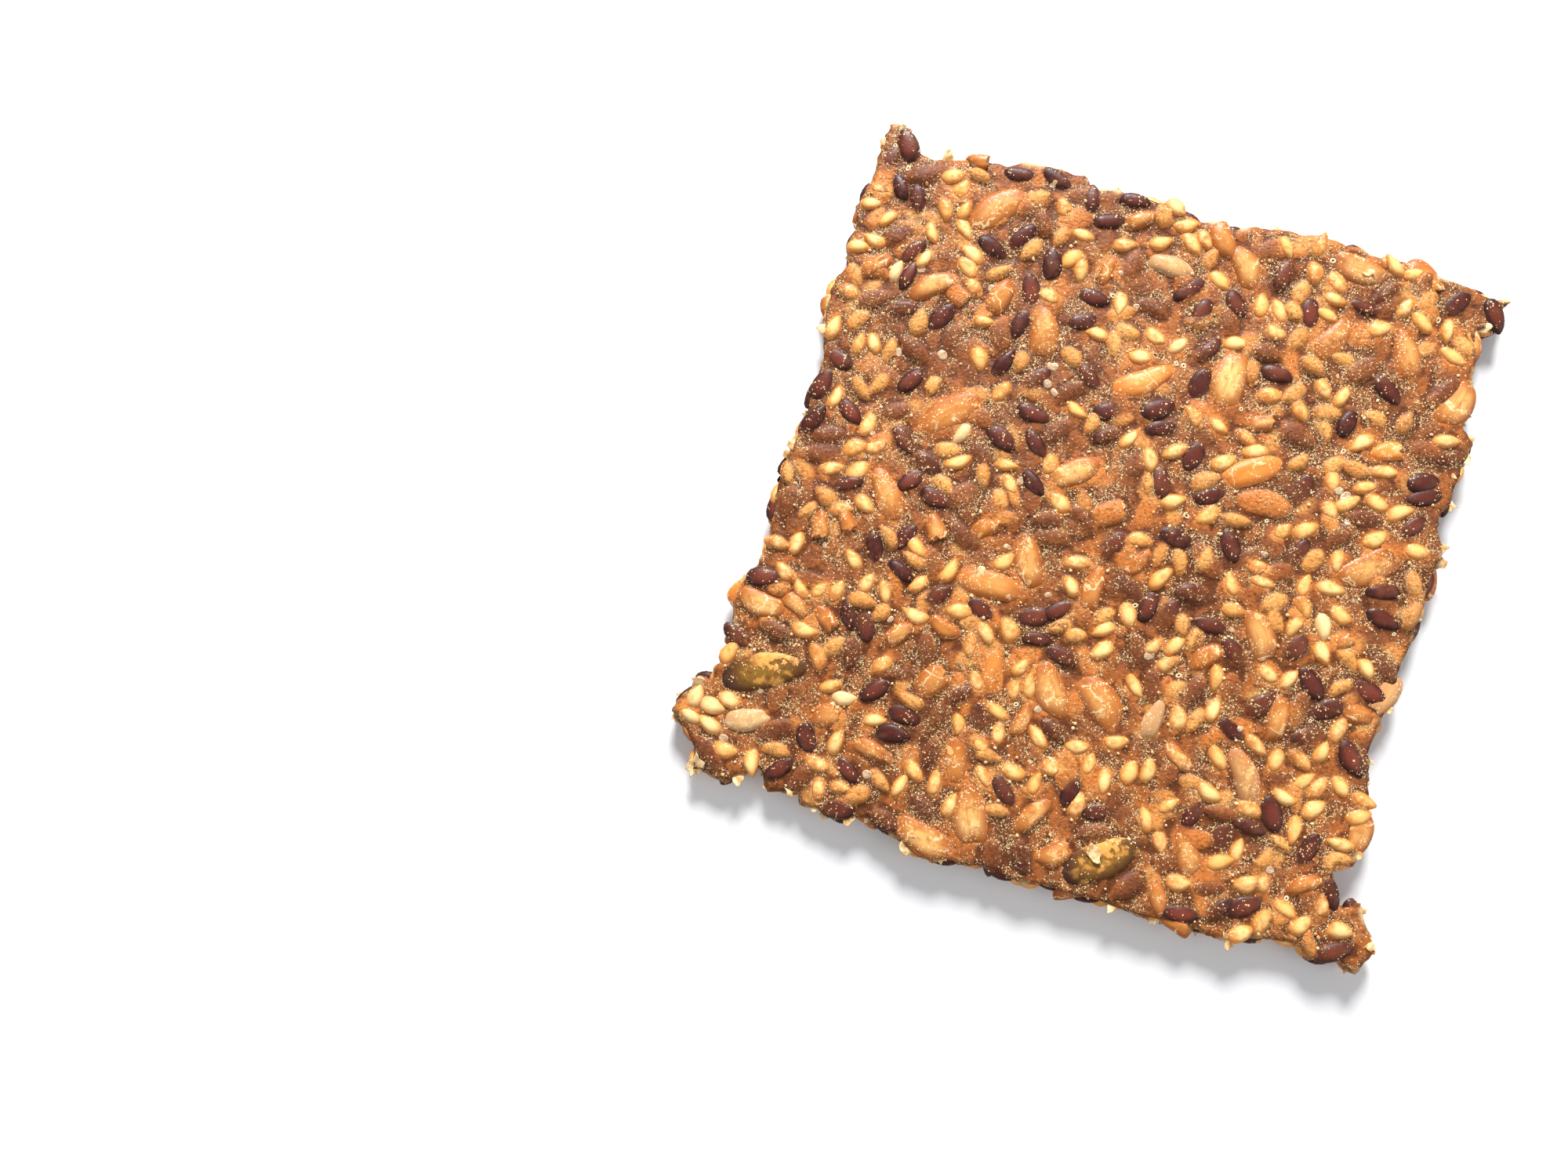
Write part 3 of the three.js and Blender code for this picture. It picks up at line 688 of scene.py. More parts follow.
def fine_rim():
    """The broken outline again with a point every RIM_PITCH, and the outward direction at each."""
    closed = np.concatenate([outline, outline[:1]])
    run = np.concatenate([[0], np.hypot(*np.diff(closed, axis=0).T).cumsum()])
    place = np.arange(0, run[-1] - RIM_PITCH / 2, RIM_PITCH)
    rim = np.stack([np.interp(place, run, closed[:, k]) for k in (0, 1)], 1)
    ahead = np.roll(rim, -1, 0) - np.roll(rim, 1, 0)
    outward = np.stack([-ahead[:, 1], ahead[:, 0]], 1) / np.hypot(*ahead.T)[:, None]
    return rim, outward


def inside_map(loop):
    """1 on the map's pixels inside a closed loop, worked out row by row from where the loop crosses it."""
    inside = np.zeros((MAP_SIDE, MAP_SIDE))
    start, end = loop, np.roll(loop, -1, 0)
    for row, y in enumerate(axis):
        hit = (start[:, 1] > y) != (end[:, 1] > y)
        (x1, y1), (x2, y2) = start[hit].T, end[hit].T
        inside[row] = (axis[:, None] > x1 + (y - y1) * (x2 - x1) / (y2 - y1)).sum(1) % 2
    return inside


def ring_noise(smooth):
    values = rng.uniform(-1, 1, len(rim))
    for _ in range(smooth):
        values = (np.roll(values, 1) + 2 * values + np.roll(values, -1)) / 4
    return RIM_BITE * values / np.abs(values).max()


rim, outward = fine_rim()
well_inside = box_blur(inside_map(rim), RIM_MARGIN)
middle_bite = ring_noise(3)


def inner_points(pitch):
    columns = np.arange(-HALF_CLOUD, HALF_CLOUD, pitch)
    rows = np.arange(-HALF_CLOUD, HALF_CLOUD, pitch * HEX_ROW)
    x, y = np.meshgrid(columns, rows)
    x[1::2] += pitch / 2
    points = np.column_stack([x.ravel(), y.ravel()])
    points += rng.uniform(-CLOUD_JITTER, CLOUD_JITTER, points.shape) * pitch
    return points[sample(well_inside, points[:, 0], points[:, 1]) > WELL_INSIDE]


# %% Faces and walls of the dough
LIP_REACH = 0.6             # thin film that hangs over the broken edge here and there
LIP_THICKNESS = 0.16
LIP_TURN = 0.25             # no lip where the edge turns inwards more sharply than this


def lips():
    before, after = np.roll(outward, 3, 0), np.roll(outward, -3, 0)
    hooked = before[:, 0] * after[:, 1] - before[:, 1] * after[:, 0] > LIP_TURN
    reach = np.where(hooked, 0, np.maximum(0, ring_noise(4) / RIM_BITE) * LIP_REACH)
    return (np.roll(reach, 1) + reach + np.roll(reach, -1)) / 3


def triangulate(loop, inner):
    """Triangles over a loop and the points inside it. Points keep their order: the loop first.

    Where the loop happens to cross itself, the crossing counts as the nearest point of the loop."""
    flat = np.concatenate([loop, inner])
    spots = [Vector(point) for point in flat]
    corners, _, faces, sources, _, _ = delaunay_2d_cdt(spots, [], [list(range(len(loop)))], 1, 1e-5)
    original = np.array([min(source, default=-1) for source in sources])
    for lost in np.flatnonzero(original < 0):
        original[lost] = np.hypot(*(loop - np.array(corners[lost])).T).argmin()
    faces = original[np.array(faces)]
    return faces[(faces != np.roll(faces, 1, 1)).all(1)]


def dough_half(name, side, pitch):
    """One face and its half of the wall, whose rings each have a height and a push outwards."""
    flag = (1, -1)[side]
    field = maps[side]
    shoulder = ring_noise(2)
    lip = lips()
    top_rim = rim + outward * (-0.22 + 0.5 * shoulder + lip)[:, None]
    plane = np.concatenate([top_rim, inner_points(pitch)])
    faces = triangulate(top_rim, plane[len(top_rim):])
    points = [np.column_stack([plane, sample(field["film"], plane[:, 0], plane[:, 1])])]
    rim_height = points[0][:len(rim), 2]
    half = DOUGH_THICKNESS / 2
    ring_steps = [
        (rim_height - LIP_THICKNESS, -0.25 + 0.5 * shoulder + 0.95 * lip),
        (np.minimum(0.72 * half, rim_height - LIP_THICKNESS - 0.1),
         0.75 * shoulder + ring_noise(1) - 0.15),
        (0.35 * half, 0.5 * shoulder + 0.5 * middle_bite + ring_noise(1)),
        (0.0, middle_bite),
    ]
    walls = []
    upper = np.arange(len(rim))
    for number, (height, push) in enumerate(ring_steps):
        ring = rim + outward * push[:, None]
        points.append(np.column_stack([ring, np.full(len(ring), 1.0) * height]))
        lower = np.arange(len(rim)) + len(plane) + number * len(rim)
        upper_next, lower_next = np.roll(upper, -1), np.roll(lower, -1)
        walls.append(np.column_stack([upper, upper_next, lower]))
        walls.append(np.column_stack([upper_next, lower_next, lower]))
        upper = lower
    floor = upper[triangulate(points[-1][:, :2], np.zeros((0, 2)))][:, ::-1]
    points = np.concatenate(points)
    triangles = np.concatenate([faces, *walls, floor])
    marks = {mark: sample(field[mark], points[:, 0], points[:, 1]) for mark in (*KINDS, "hollow", "warm")}
    order = np.arange(len(points))
    marks["wall"] = (order >= len(plane) + len(rim)).astype(float)
    marks["lip"] = np.zeros(len(points))
    marks["lip"][:len(rim)] = lip / LIP_REACH
    marks["lip"][len(plane):len(plane) + len(rim)] = lip / LIP_REACH
    points[:, 2] = MIDDLE_HEIGHT + flag * points[:, 2] + bow(points[:, 0], points[:, 1])
    make_piece(name, points, triangles if side == 0 else triangles[:, ::-1], marks)


dough_half("dough_smooth_face", 0, 0.33)
dough_half("dough_rough_face", 1, 0.42)

# %% [markdown]
# ## The seeds
# Every seed is a round grid of points pulled to its plan, domed on top and closed below. All seeds of a
# kind are worked out in one go and joined to one mesh. Each vertex notes how far it stands clear of the
# film, so that the material can bring the film's colour up round the foot of the seed.

# %% Skin relief
MESH_RINGS = {"pumpkin": (26, 72), "sunflower": (12, 34), "flax": (6, 16), "sesame": (5, 14)}
RIDGES = {"pumpkin": 3.0, "sunflower": 6.0, "flax": 2.0, "sesame": 2.0}
RIDGE_DEPTH = {"pumpkin": 0.012, "sunflower": 0.014, "flax": 0.006, "sesame": 0.008}
DENT_DEPTH = {"pumpkin": 0.05, "sunflower": 0.16, "flax": 0.05, "sesame": 0.05}
RIM_CLEAR = 0.30            # counts as about this far out of the film
RIM_HALF_THICKNESS = {"sunflower": 0.95, "flax": 0.6, "sesame": 0.5}
ROOT_DEPTH = 0.45           # how far a seed of one face reaches down into the dough below its edge


def skin_relief(group, index, along, across, rho):
    """Grooves, wrinkles and a dent of the skin, in mm, fading out towards the seed's edge."""
    one, two, three, four = group.phase[:, index]
    depth = RIDGE_DEPTH[group.kind] * (0.4 + 1.2 * group.tone[index])
    grooves = np.cos(across * RIDGES[group.kind] + one + 0.8 * np.sin(1.7 * along + two))
    wrinkles = np.sin(9 * across + 2.5 * np.sin(2.2 * along + three)) * np.sin(1.6 * along + four)
    dent = np.exp(-((along - 0.5 * np.cos(two)) ** 2 + (across - 0.5 * np.sin(three)) ** 2) / 0.1)
    dent_depth = DENT_DEPTH[group.kind] * max(0, math.sin(four))
    return (depth * (grooves + 0.6 * wrinkles) - dent_depth * dent) * (1 - rho ** 4)


# %% Seed meshes
def seed_grid(rings, around, low_rings):
    """rho, angle and side (+1 top, -1 bottom) of each vertex, and the triangles of one closed seed."""
    top = np.sin(np.linspace(0, math.pi / 2, rings + 1))[1:]
    bottom = np.sin(np.linspace(math.pi / 2, 0, low_rings + 1))[:-1]
    rho = np.concatenate([[0], np.repeat(top, around), np.repeat(bottom, around), [0]])
    turn = np.tile(np.arange(around) * 2 * math.pi / around, rings + low_rings)
    angle = np.concatenate([[0], turn, [0]])
    side = np.concatenate([np.ones(1 + rings * around), -np.ones(low_rings * around + 1)])
    here = np.arange(around)
    after = np.roll(here, -1)
    triangles = [np.column_stack([np.zeros(around, int), 1 + here, 1 + after])]
    for ring in range(rings + low_rings - 1):
        a, b = 1 + ring * around, 1 + (ring + 1) * around
        triangles.append(np.column_stack([a + here, b + here, a + after]))
        triangles.append(np.column_stack([a + after, b + here, b + after]))
    last = 1 + (rings + low_rings - 1) * around
    triangles.append(np.column_stack([last + here, np.full(around, len(rho) - 1), last + after]))
    return rho, angle, side, np.concatenate(triangles)


def seed_points(group, index, rho, angle, side):
    """Points, local skin coordinates and height above the film of one seed."""
    face = group.face[index]
    full = FULLNESS[group.kind]
    reach = (np.abs(np.cos(angle)) ** full + np.abs(np.sin(angle)) ** full) ** (-1 / full)
    reach = reach * group.swell(angle, index)
    along = rho * np.cos(angle) * reach
    across = rho * np.sin(angle) * reach
    rough = 0.08 * np.sin(5 * across + group.phase[2, index]) + 0.04 * np.sin(11 * across)
    kept = np.minimum(along, group.cut[index] + rough)
    local_x = kept * group.length[index] / 2
    local_y = across * group.width[index] / 2 * group.taper(kept, index) + group.spine(kept, index)
    ahead, aside = math.cos(group.turn[index]), math.sin(group.turn[index])
    x = group.x[index] + local_x * ahead - local_y * aside
    y = group.y[index] + local_x * aside + local_y * ahead
    sink = SINK[group.kind]
    heights = []
    for way in (0, 1):
        level = sample(maps[way]["level"], x, y)
        lean = group.tilt[way, index] * (local_x + 0.6 * local_y)
        heights.append(level - sink + (group.rise[way, index] + sink) * dome(rho) + lean)
    if face == BOTH:
        z = np.where(side > 0, heights[0], -heights[1])
    elif face == RIM:
        z = group.middle[index] + side * RIM_HALF_THICKNESS[group.kind] * dome(rho)
    else:
        way = 0 if face == UPPER else 1
        base = sample(maps[way]["level"], x, y) - sink
        z = np.where(side > 0, heights[way], base - ROOT_DEPTH * dome(rho))
        z = z if way == 0 else -z
    outer = np.where(z > 0, 1, -1)
    z = z + outer * skin_relief(group, index, along, across, rho) * (along < group.cut[index])
    upper_clear = z - sample(maps[0]["film"], x, y)
    lower_clear = -z - sample(maps[1]["film"], x, y)
    clear = np.maximum(upper_clear, lower_clear)
    if face == RIM:
        clear = RIM_CLEAR + 0.2 * np.sin(4 * along + group.phase[3, index]) * (1 - across ** 2)
    outside = np.clip(1 - 2 * sample(well_inside, x, y), 0, 1)
    clear = np.maximum(clear, RIM_CLEAR * outside)
    return np.column_stack([x, y, z]), np.column_stack([along, across, rho]), clear


def make_seeds(kind):
    group = seeds[kind]
    rings, around = MESH_RINGS[kind]
    low_rings = rings if kind in ("pumpkin", "sunflower") else 2
    rho, angle, side, triangles = seed_grid(rings, around, low_rings)
    points, skins, clears, tones, odds, faces = [], [], [], [], [], []
    for index in range(len(group.x)):
        seed_place, skin, clear = seed_points(group, index, rho, angle, side)
        flipped = group.face[index] == LOWER
        faces.append((triangles[:, ::-1] if flipped else triangles) + index * len(rho))
        points.append(seed_place)
        skins.append(skin)
        clears.append(clear)
        tones.append(np.full(len(rho), group.tone[index]))
        odds.append(np.full(len(rho), group.odd[index]))
    marks = {"skin": skins, "clear": clears, "tone": tones, "odd": odds}
    marks = {mark: np.concatenate(values) for mark, values in marks.items()}
    make_piece(kind + "_seeds", joined(points), np.concatenate(faces), marks)


for kind in KINDS:
    make_seeds(kind)

# %% [markdown]
# ## Flakes, crumbs and bubbles
# Where the sheet broke, thin scraps of film curl off the edge. Dust of dough lies in the hollows. A few
# bubbles left a pale ring round a dark hole, and others are still closed: low blisters of film. Each kind
# is one mesh of many small bodies, all made from the same round grid as the seeds, so nothing is scattered
# by instances.

# %% Flakes of film
FLAKE_PLACES = [
    (-34.0, 45.6, 80, 2.6, 0.3), (42.6, -31.4, 10, 2.2, 0.3), (46.9, -41.2, -50, 2.0, 0.4),
    (-45.4, -35.6, 130, 2.6, 0.5), (-43.0, 0.2, 180, 1.8, 0.2), (-12.2, -47.6, -100, 3.2, -0.2),
    (-7.6, -47.2, -80, 2.6, -0.2), (-42.8, -46.0, -100, 2.8, -0.3), (-36.8, -45.6, -80, 2.2, 0.2),
    (41.4, 41.2, 20, 1.8, 0.4), (-41.6, 48.0, 95, 1.8, 0.4), (-29.6, -45.2, -60, 2.0, 0.1),
    (-20.8, -46.3, -90, 2.2, -0.1), (30.4, -46.4, -80, 2.4, -0.2), (15.2, -46.6, -95, 2.4, 0.1),
    (41.8, 20.4, 0, 1.8, 0.3), (43.0, 10.6, 10, 2.0, 0.3),
]                           # across, up, the way it points, length, slope
STUCK_FLAKES = [(11.0, -41.0, -40, 2.6, 0.0), (-13.4, -9.6, 70, 1.6, 0.0), (25.0, 44.2, 10, 1.4, 0.0)]
STUCK_LIFT = 0.36           # above the film, as they lie on seeds that stand out of it
EDGE_LIFT = -0.15           # those of the edge start just under the film
LOOSE_FLAKES = 90
FLAKE_THICKNESS = 0.14
FLAKE_RINGS = 3
FLAKE_AROUND = 14


def flake(x, y, height, turn, length, slope):
    """The points of a thin, ragged and slightly curled scrap."""
    rho, angle, side, _ = seed_grid(FLAKE_RINGS, FLAKE_AROUND, FLAKE_RINGS)
    ragged = np.tile(1 + rng.uniform(-0.35, 0.35, FLAKE_AROUND), 2 * FLAKE_RINGS)
    reach = np.concatenate([[0], ragged, [0]]) * length / 2
    u, v = rho * np.cos(angle) * reach, rho * np.sin(angle) * reach * rng.uniform(0.5, 0.8)
    w = side * FLAKE_THICKNESS / 2 * (1 - 0.5 * rho) + rng.uniform(-0.12, 0.2) * u ** 2 + slope * u
    w += 0.06 * np.sin(3 * u + 4 * v)
    ahead, aside = math.cos(turn), math.sin(turn)
    return np.column_stack([x + u * ahead - v * aside, y + u * aside + v * ahead, height + w])


def make_flakes():
    """All flakes, each with a tone of its own, for whoever wants to tint them one by one."""
    places = []
    for hand_placed, lift in ((FLAKE_PLACES, EDGE_LIFT), (STUCK_FLAKES, STUCK_LIFT)):
        for x, y, degrees, length, slope in hand_placed:
            height = sample(maps[0]["film"], np.array(x), np.array(y)) + lift
            places.append((x, y, height, math.radians(degrees), length, slope))
    for index in rng.integers(0, len(rim), LOOSE_FLAKES):
        x, y = rim[index] + outward[index] * rng.uniform(-0.4, 0.1)
        turn = math.atan2(outward[index, 1], outward[index, 0]) + rng.uniform(-0.8, 0.8)
        height = rng.uniform(-1.1, 1.2)
        places.append((x, y, height, turn, rng.uniform(0.8, 2.0), rng.uniform(-0.4, 0.4)))
    triangles = seed_grid(FLAKE_RINGS, FLAKE_AROUND, FLAKE_RINGS)[3]
    points, tones, faces = [], [], []
    for number, (x, y, height, turn, length, slope) in enumerate(places):
        points.append(flake(x, y, height, turn, length, slope))
        faces.append(triangles + number * len(points[-1]))
        tones.append(np.full(len(points[-1]), rng.random()))
    make_piece("film_flakes", joined(points), np.concatenate(faces), {"tone": np.concatenate(tones)})


make_flakes()

# %% Crumbs, bubble rings and blisters
CRUMBS = (520, 260)         # on the smooth and on the rough face
CRUMB_SIZES = (0.09, 0.26)
BUBBLE_PLACES = [
    (-22.1, 37.9), (-40.4, 22.0), (13.7, 21.5), (20.1, 44.8), (-14.8, 13.1), (-33.3, -5.4), (35.4, 40.5),
    (-32.8, 40.5), (15.3, -15.4), (-39.1, 42.8), (4.9, 25.3), (-3.9, -25.3),
]
LOOSE_BUBBLES = 14
BUBBLE_RADII = (0.22, 0.42)
BUBBLE_HEIGHT = 0.10
BLISTER_PLACES = [(-10.9, -5.3), (-3.9, -10.0), (20.2, -7.6)]
LOOSE_BLISTERS = 26
BLISTER_RADII = (0.35, 0.75)


def film_spots(side, count, least_hollow):
    """Random places on a face, well inside it, and only where the film is as hollow as asked."""
    spots = []
    while len(spots) < count:
        x, y = rng.uniform(-HALF_SPAN, HALF_SPAN, 2)
        well = sample(well_inside, x, y) > 0.98
        if well and sample(maps[side]["hollow"], x, y) > least_hollow * rng.random():
            spots.append((x, y))
    return spots


def make_specks(name, spots, radii, rings, around, height_profile):
    """Many small round bodies on the film. Their skin mark is rho, side and a number of their own."""
    rho, angle, side, triangles = seed_grid(rings, around, rings)
    points, marks, faces = [], [], []
    for number, (face, x, y) in enumerate(spots):
        radius = rng.uniform(*radii)
        ragged = radius * (1 + 0.25 * np.sin(2 * angle + rng.uniform(0, 6)) * rng.uniform(0, 1))
        flat_x, flat_y = x + rho * np.cos(angle) * ragged, y + rho * np.sin(angle) * ragged
        z = sample(maps[face]["film"], flat_x, flat_y) + height_profile(rho, side, radius)
        points.append(np.column_stack([flat_x, flat_y, z if face == 0 else -z]))
        faces.append((triangles if face == 0 else triangles[:, ::-1]) + number * len(rho))
        marks.append(np.column_stack([rho, side, np.full(len(rho), rng.random())]))
    make_piece(name, joined(points), np.concatenate(faces), {"skin": np.concatenate(marks)})


def crumb_profile(rho, side, radius):
    return radius * (0.35 + 0.75 * side * dome(rho))


def bubble_profile(rho, side, radius):
    ridge = BUBBLE_HEIGHT * np.exp(-((rho - 0.72) / 0.18) ** 2)
    return np.where(side > 0, ridge + 0.01, -0.05)


def blister_profile(rho, side, radius):
    return np.where(side > 0, 0.02 + 0.22 * radius * dome(rho), -0.05)


crumb_spots = [(face, x, y) for face in (0, 1) for x, y in film_spots(face, CRUMBS[face], 1.0)]
make_specks("crumbs", crumb_spots, CRUMB_SIZES, 2, 6, crumb_profile)
bubble_spots = [(0, x, y) for x, y in BUBBLE_PLACES + film_spots(0, LOOSE_BUBBLES, 0.6)]
make_specks("bubble_rings", bubble_spots, BUBBLE_RADII, 5, 12, bubble_profile)
blister_spots = [(0, x, y) for x, y in BLISTER_PLACES + film_spots(0, LOOSE_BLISTERS, 0.8)]
make_specks("film_blisters", blister_spots, BLISTER_RADII, 5, 14, blister_profile)

# %% [markdown]
# ## Colours
# Colours are read off as screen values and turned into the linear values that Blender mixes with. The
# helpers below add a node or a few and give back their output, so that a material reads like a recipe:
# start with a body colour, and lay one thing after another over it.

# %% Colour helper
def screen(red, green, blue):
    """A colour as a screen shows it, from 0 to 255, in the linear values of a material."""
    linear = [value / 255 for value in (red, green, blue)]
    linear = [value / 12.92 if value <= 0.04045 else ((value + 0.055) / 1.055) ** 2.4 for value in linear]
    return (*linear, 1)


# %% Node helpers
def put(tree, socket, value):
    """Link another node's output to a socket, or set a plain value on it."""
    if isinstance(value, bpy.types.NodeSocket):
        tree.links.new(value, socket)
    else:
        socket.default_value = value


def add_node(tree, kind, settings=None, **inputs):
    node = tree.nodes.new(kind)
    for name, value in (settings or {}).items():
        setattr(node, name, value)
    for name, value in inputs.items():
        put(tree, node.inputs[name.replace("_", " ")], value)
    return node


def mix_colors(tree, amount, one, other):
    """One colour turned towards another. The Mix node's sockets 6 and 7 are its two colours."""
    node = tree.nodes.new("ShaderNodeMix")
    node.data_type = "RGBA"
    for number, value in ((0, amount), (6, one), (7, other)):
        put(tree, node.inputs[number], value)
    return node.outputs[2]


def calculate(tree, operation, one, other=0.5):
    node = tree.nodes.new("ShaderNodeMath")
    node.operation = operation
    put(tree, node.inputs[0], one)
    put(tree, node.inputs[1], other)
    return node.outputs[0]


def mark(tree, name, output="Fac"):
    """What the vertices store under a name."""
    return add_node(tree, "ShaderNodeAttribute", {"attribute_name": name}).outputs[output]


def ramp(tree, value, low, high, out_low=0.0, out_high=1.0):
    """A value from low to high turned smoothly into one from out_low to out_high."""
    node = add_node(tree, "ShaderNodeMapRange", {"interpolation_type": "SMOOTHSTEP"}, Value=value)
    for name, limit in (("From Min", low), ("From Max", high), ("To Min", out_low), ("To Max", out_high)):
        put(tree, node.inputs[name], limit)
    return node.outputs["Result"]


def noise(tree, cell, detail=3.0, output="Fac"):
    """Soft noise with spots about one cell wide, in mm."""
    place = tree.nodes.new("ShaderNodeTexCoord").outputs["Object"]
    node = add_node(tree, "ShaderNodeTexNoise", Vector=place, Scale=1 / (cell * MM), Detail=detail)
    return node.outputs[output]


def times(tree, one, other):
    return calculate(tree, "MULTIPLY", one, other)


def patches(tree, cell, low, high, out_low=0.0, out_high=1.0, detail=3.0):
    """Soft patches: noise from low to high turned smoothly into a value from out_low to out_high."""
    return ramp(tree, noise(tree, cell, detail), low, high, out_low, out_high)


def skin_place(tree):
    """Where a point lies on its seed: X along it, Y across it, and Z 0 at the middle and 1 at the rim."""
    return add_node(tree, "ShaderNodeSeparateXYZ", Vector=mark(tree, "skin", "Vector"))


def bent_place(tree, place, push, amount):
    """A place moved aside by a colour noise, so that what is drawn there has no straight lines."""
    shift = add_node(tree, "ShaderNodeVectorMath", {"operation": "SCALE"}, Vector=push, Scale=amount)
    bent = tree.nodes.new("ShaderNodeVectorMath")
    put(tree, bent.inputs[0], place)
    put(tree, bent.inputs[1], shift.outputs[0])
    return bent.outputs[0]


def cell_walls(tree, place, scale):
    """How far a point is from the nearest wall between random cells."""
    settings = {"feature": "DISTANCE_TO_EDGE"}
    walls = add_node(tree, "ShaderNodeTexVoronoi", settings, Vector=place, Scale=scale)
    return walls.outputs["Distance"]


# %% [markdown]
# ## Froth
# The film is full of tiny pale bubbles and threads, most of them in the hollows between the seeds. Two
# Voronoi textures draw them. One gives a point in each small cell, and a ring or dot is drawn round it in
# the cells whose random number is low enough. The other gives the walls between larger, bent cells, and
# broken stretches of those become threads. It is a group, as the dough and all the seeds carry it.

# %% Froth group
def froth_group():
    group = bpy.data.node_groups.new("froth", "ShaderNodeTree")
    for name, value in (("Cell", 0.4 * MM), ("Share", 0.5)):
        socket = group.interface.new_socket(name, in_out="INPUT", socket_type="NodeSocketFloat")
        socket.default_value = value
    group.interface.new_socket("Mask", in_out="OUTPUT", socket_type="NodeSocketFloat")
    start, end = group.nodes.new("NodeGroupInput"), group.nodes.new("NodeGroupOutput")
    place = group.nodes.new("ShaderNodeTexCoord").outputs["Object"]
    scale = calculate(group, "DIVIDE", 1.0, start.outputs["Cell"])
    share = start.outputs["Share"]

    push = add_node(group, "ShaderNodeTexNoise", Vector=place, Scale=times(group, scale, 0.6))
    bent = bent_place(group, place, push.outputs["Color"], times(group, start.outputs["Cell"], 1.5))

    cells = add_node(group, "ShaderNodeTexVoronoi", Vector=bent, Scale=scale)
    chance = add_node(group, "ShaderNodeSeparateColor", Color=cells.outputs["Color"])
    chosen = calculate(group, "LESS_THAN", chance.outputs[0], share)
    size = ramp(group, chance.outputs[1], 0, 1, 0.22, 0.50)
    outer = ramp(group, calculate(group, "SUBTRACT", size, cells.outputs["Distance"]), 0.0, 0.12)
    core = ramp(group, calculate(group, "DIVIDE", cells.outputs["Distance"], size), 0.25, 0.6, 0.45, 1.0)
    dots = times(group, times(group, outer, core), chosen)

    line = ramp(group, cell_walls(group, bent, times(group, scale, 0.5)), 0.01, 0.08, 1.0, 0.0)
    broken = ramp(group, chance.outputs[2], 0.50, 0.6)
    threads = times(group, times(group, line, broken), ramp(group, share, 0.3, 0.7))
    put(group, end.inputs["Mask"], calculate(group, "MAXIMUM", dots, times(group, threads, 0.8)))
    return group


FROTH = froth_group()


def froth(tree, cell, share):
    node = add_node(tree, "ShaderNodeGroup", {"node_tree": FROTH}, Cell=cell * MM, Share=share)
    return node.outputs["Mask"]


def start_material(name):
    material = bpy.data.materials.new(name)
    material.use_nodes = True
    tree = material.node_tree
    return material, tree, tree.nodes["Principled BSDF"]


# %% [markdown]
# ## The baked dough
# Baked dough is no single brown. It is greyer where flax shows through, amber beside pale kernels, darker
# in the hollows by painted shade, and crumbly where it broke. The maps stored at the vertices say
# where each of these is, and noise at several sizes keeps their borders soft. The rough face has less
# froth and more gloss, so both are made by one function with values of their own.

# %% Baked film of dough
TINTS = {
    "sunflower": screen(212, 130, 62), "sesame": screen(244, 178, 96),
    "flax": screen(96, 50, 30), "pumpkin": screen(112, 74, 36),
}


def dough_material(name, plain, grey, amber, dark, most_froth, gloss):
    """Dough that is greyer among dark seeds, amber near pale ones and darkest in the hollows by painted
    shade.
    """
    material, tree, shader = start_material(name)
    hollow, warm = mark(tree, "hollow"), mark(tree, "warm")
    body = mix_colors(tree, patches(tree, 4.0, 0.35, 0.65), plain, grey)
    body = mix_colors(tree, times(tree, warm, 0.85), body, amber)
    # painted shade: the dough darkens where the film lies low between the seeds
    body = mix_colors(tree, ramp(tree, hollow, 0.3, 0.9, 0, 0.85), body, dark)
    veil = patches(tree, 0.9, 0.3, 0.7, 0.6, 0.95)
    for kind, tint in TINTS.items():
        body = mix_colors(tree, times(tree, mark(tree, kind), veil), body, tint)
    # dark spots of the dough's own, at random, in the same brown
    body = mix_colors(tree, patches(tree, 0.45, 0.46, 0.70, 0, 0.55), body, dark)
    cloud = patches(tree, 3.0, 0.38, 0.62, 0.2, 1.0, detail=1.0)
    share = times(tree, ramp(tree, hollow, 0.0, 0.6, 0.5, 1.0), cloud)
    dots = froth(tree, 0.25, times(tree, share, most_froth))
    body = mix_colors(tree, times(tree, dots, 0.95), body, screen(255, 222, 164))
    crumb = patches(tree, 0.6, 0.40, 0.70)
    crumb = mix_colors(tree, crumb, screen(108, 62, 28), screen(210, 152, 88))
    body = mix_colors(tree, times(tree, mark(tree, "wall"), 0.8), body, crumb)
    body = mix_colors(tree, ramp(tree, mark(tree, "lip"), 0.1, 0.6, 0, 0.9), body, screen(240, 206, 150))
    put(tree, shader.inputs["Base Color"], body)
    put(tree, shader.inputs["Roughness"], patches(tree, 1.1, 0.3, 0.7, gloss, gloss + 0.2))
    relief = calculate(tree, "ADD", noise(tree, 0.4, 5.0), times(tree, dots, 0.4))
    bump = add_node(tree, "ShaderNodeBump", Strength=0.9, Distance=0.18 * MM, Height=relief)
    put(tree, shader.inputs["Normal"], bump.outputs[0])
    shader.inputs["Specular IOR Level"].default_value = 0.22
    return material


# each face's fourth colour serves both as painted shade in the hollows and as the dough's own dark spots
smooth_dough = dough_material(
    "smooth_baked_dough", screen(162, 92, 42), screen(130, 76, 43), screen(208, 119, 52),
    screen(84, 41, 18), 0.9, 0.36)
rough_dough = dough_material(
    "rough_baked_dough", screen(168, 100, 44), screen(120, 74, 38), screen(206, 124, 46),
    screen(76, 42, 22), 0.3, 0.24)


# %% [markdown]
# ## The skins of the seeds
# All seeds share one build: pale in the middle, darker at the rim and at the tip, and tinted by the film
# that climbs up their foot. What differs is laid over it: rubbed patches on the pumpkin seeds, streaks,
# chips and splits on the kernels, haze on the flax, and a few pearly seeds among the sesame.

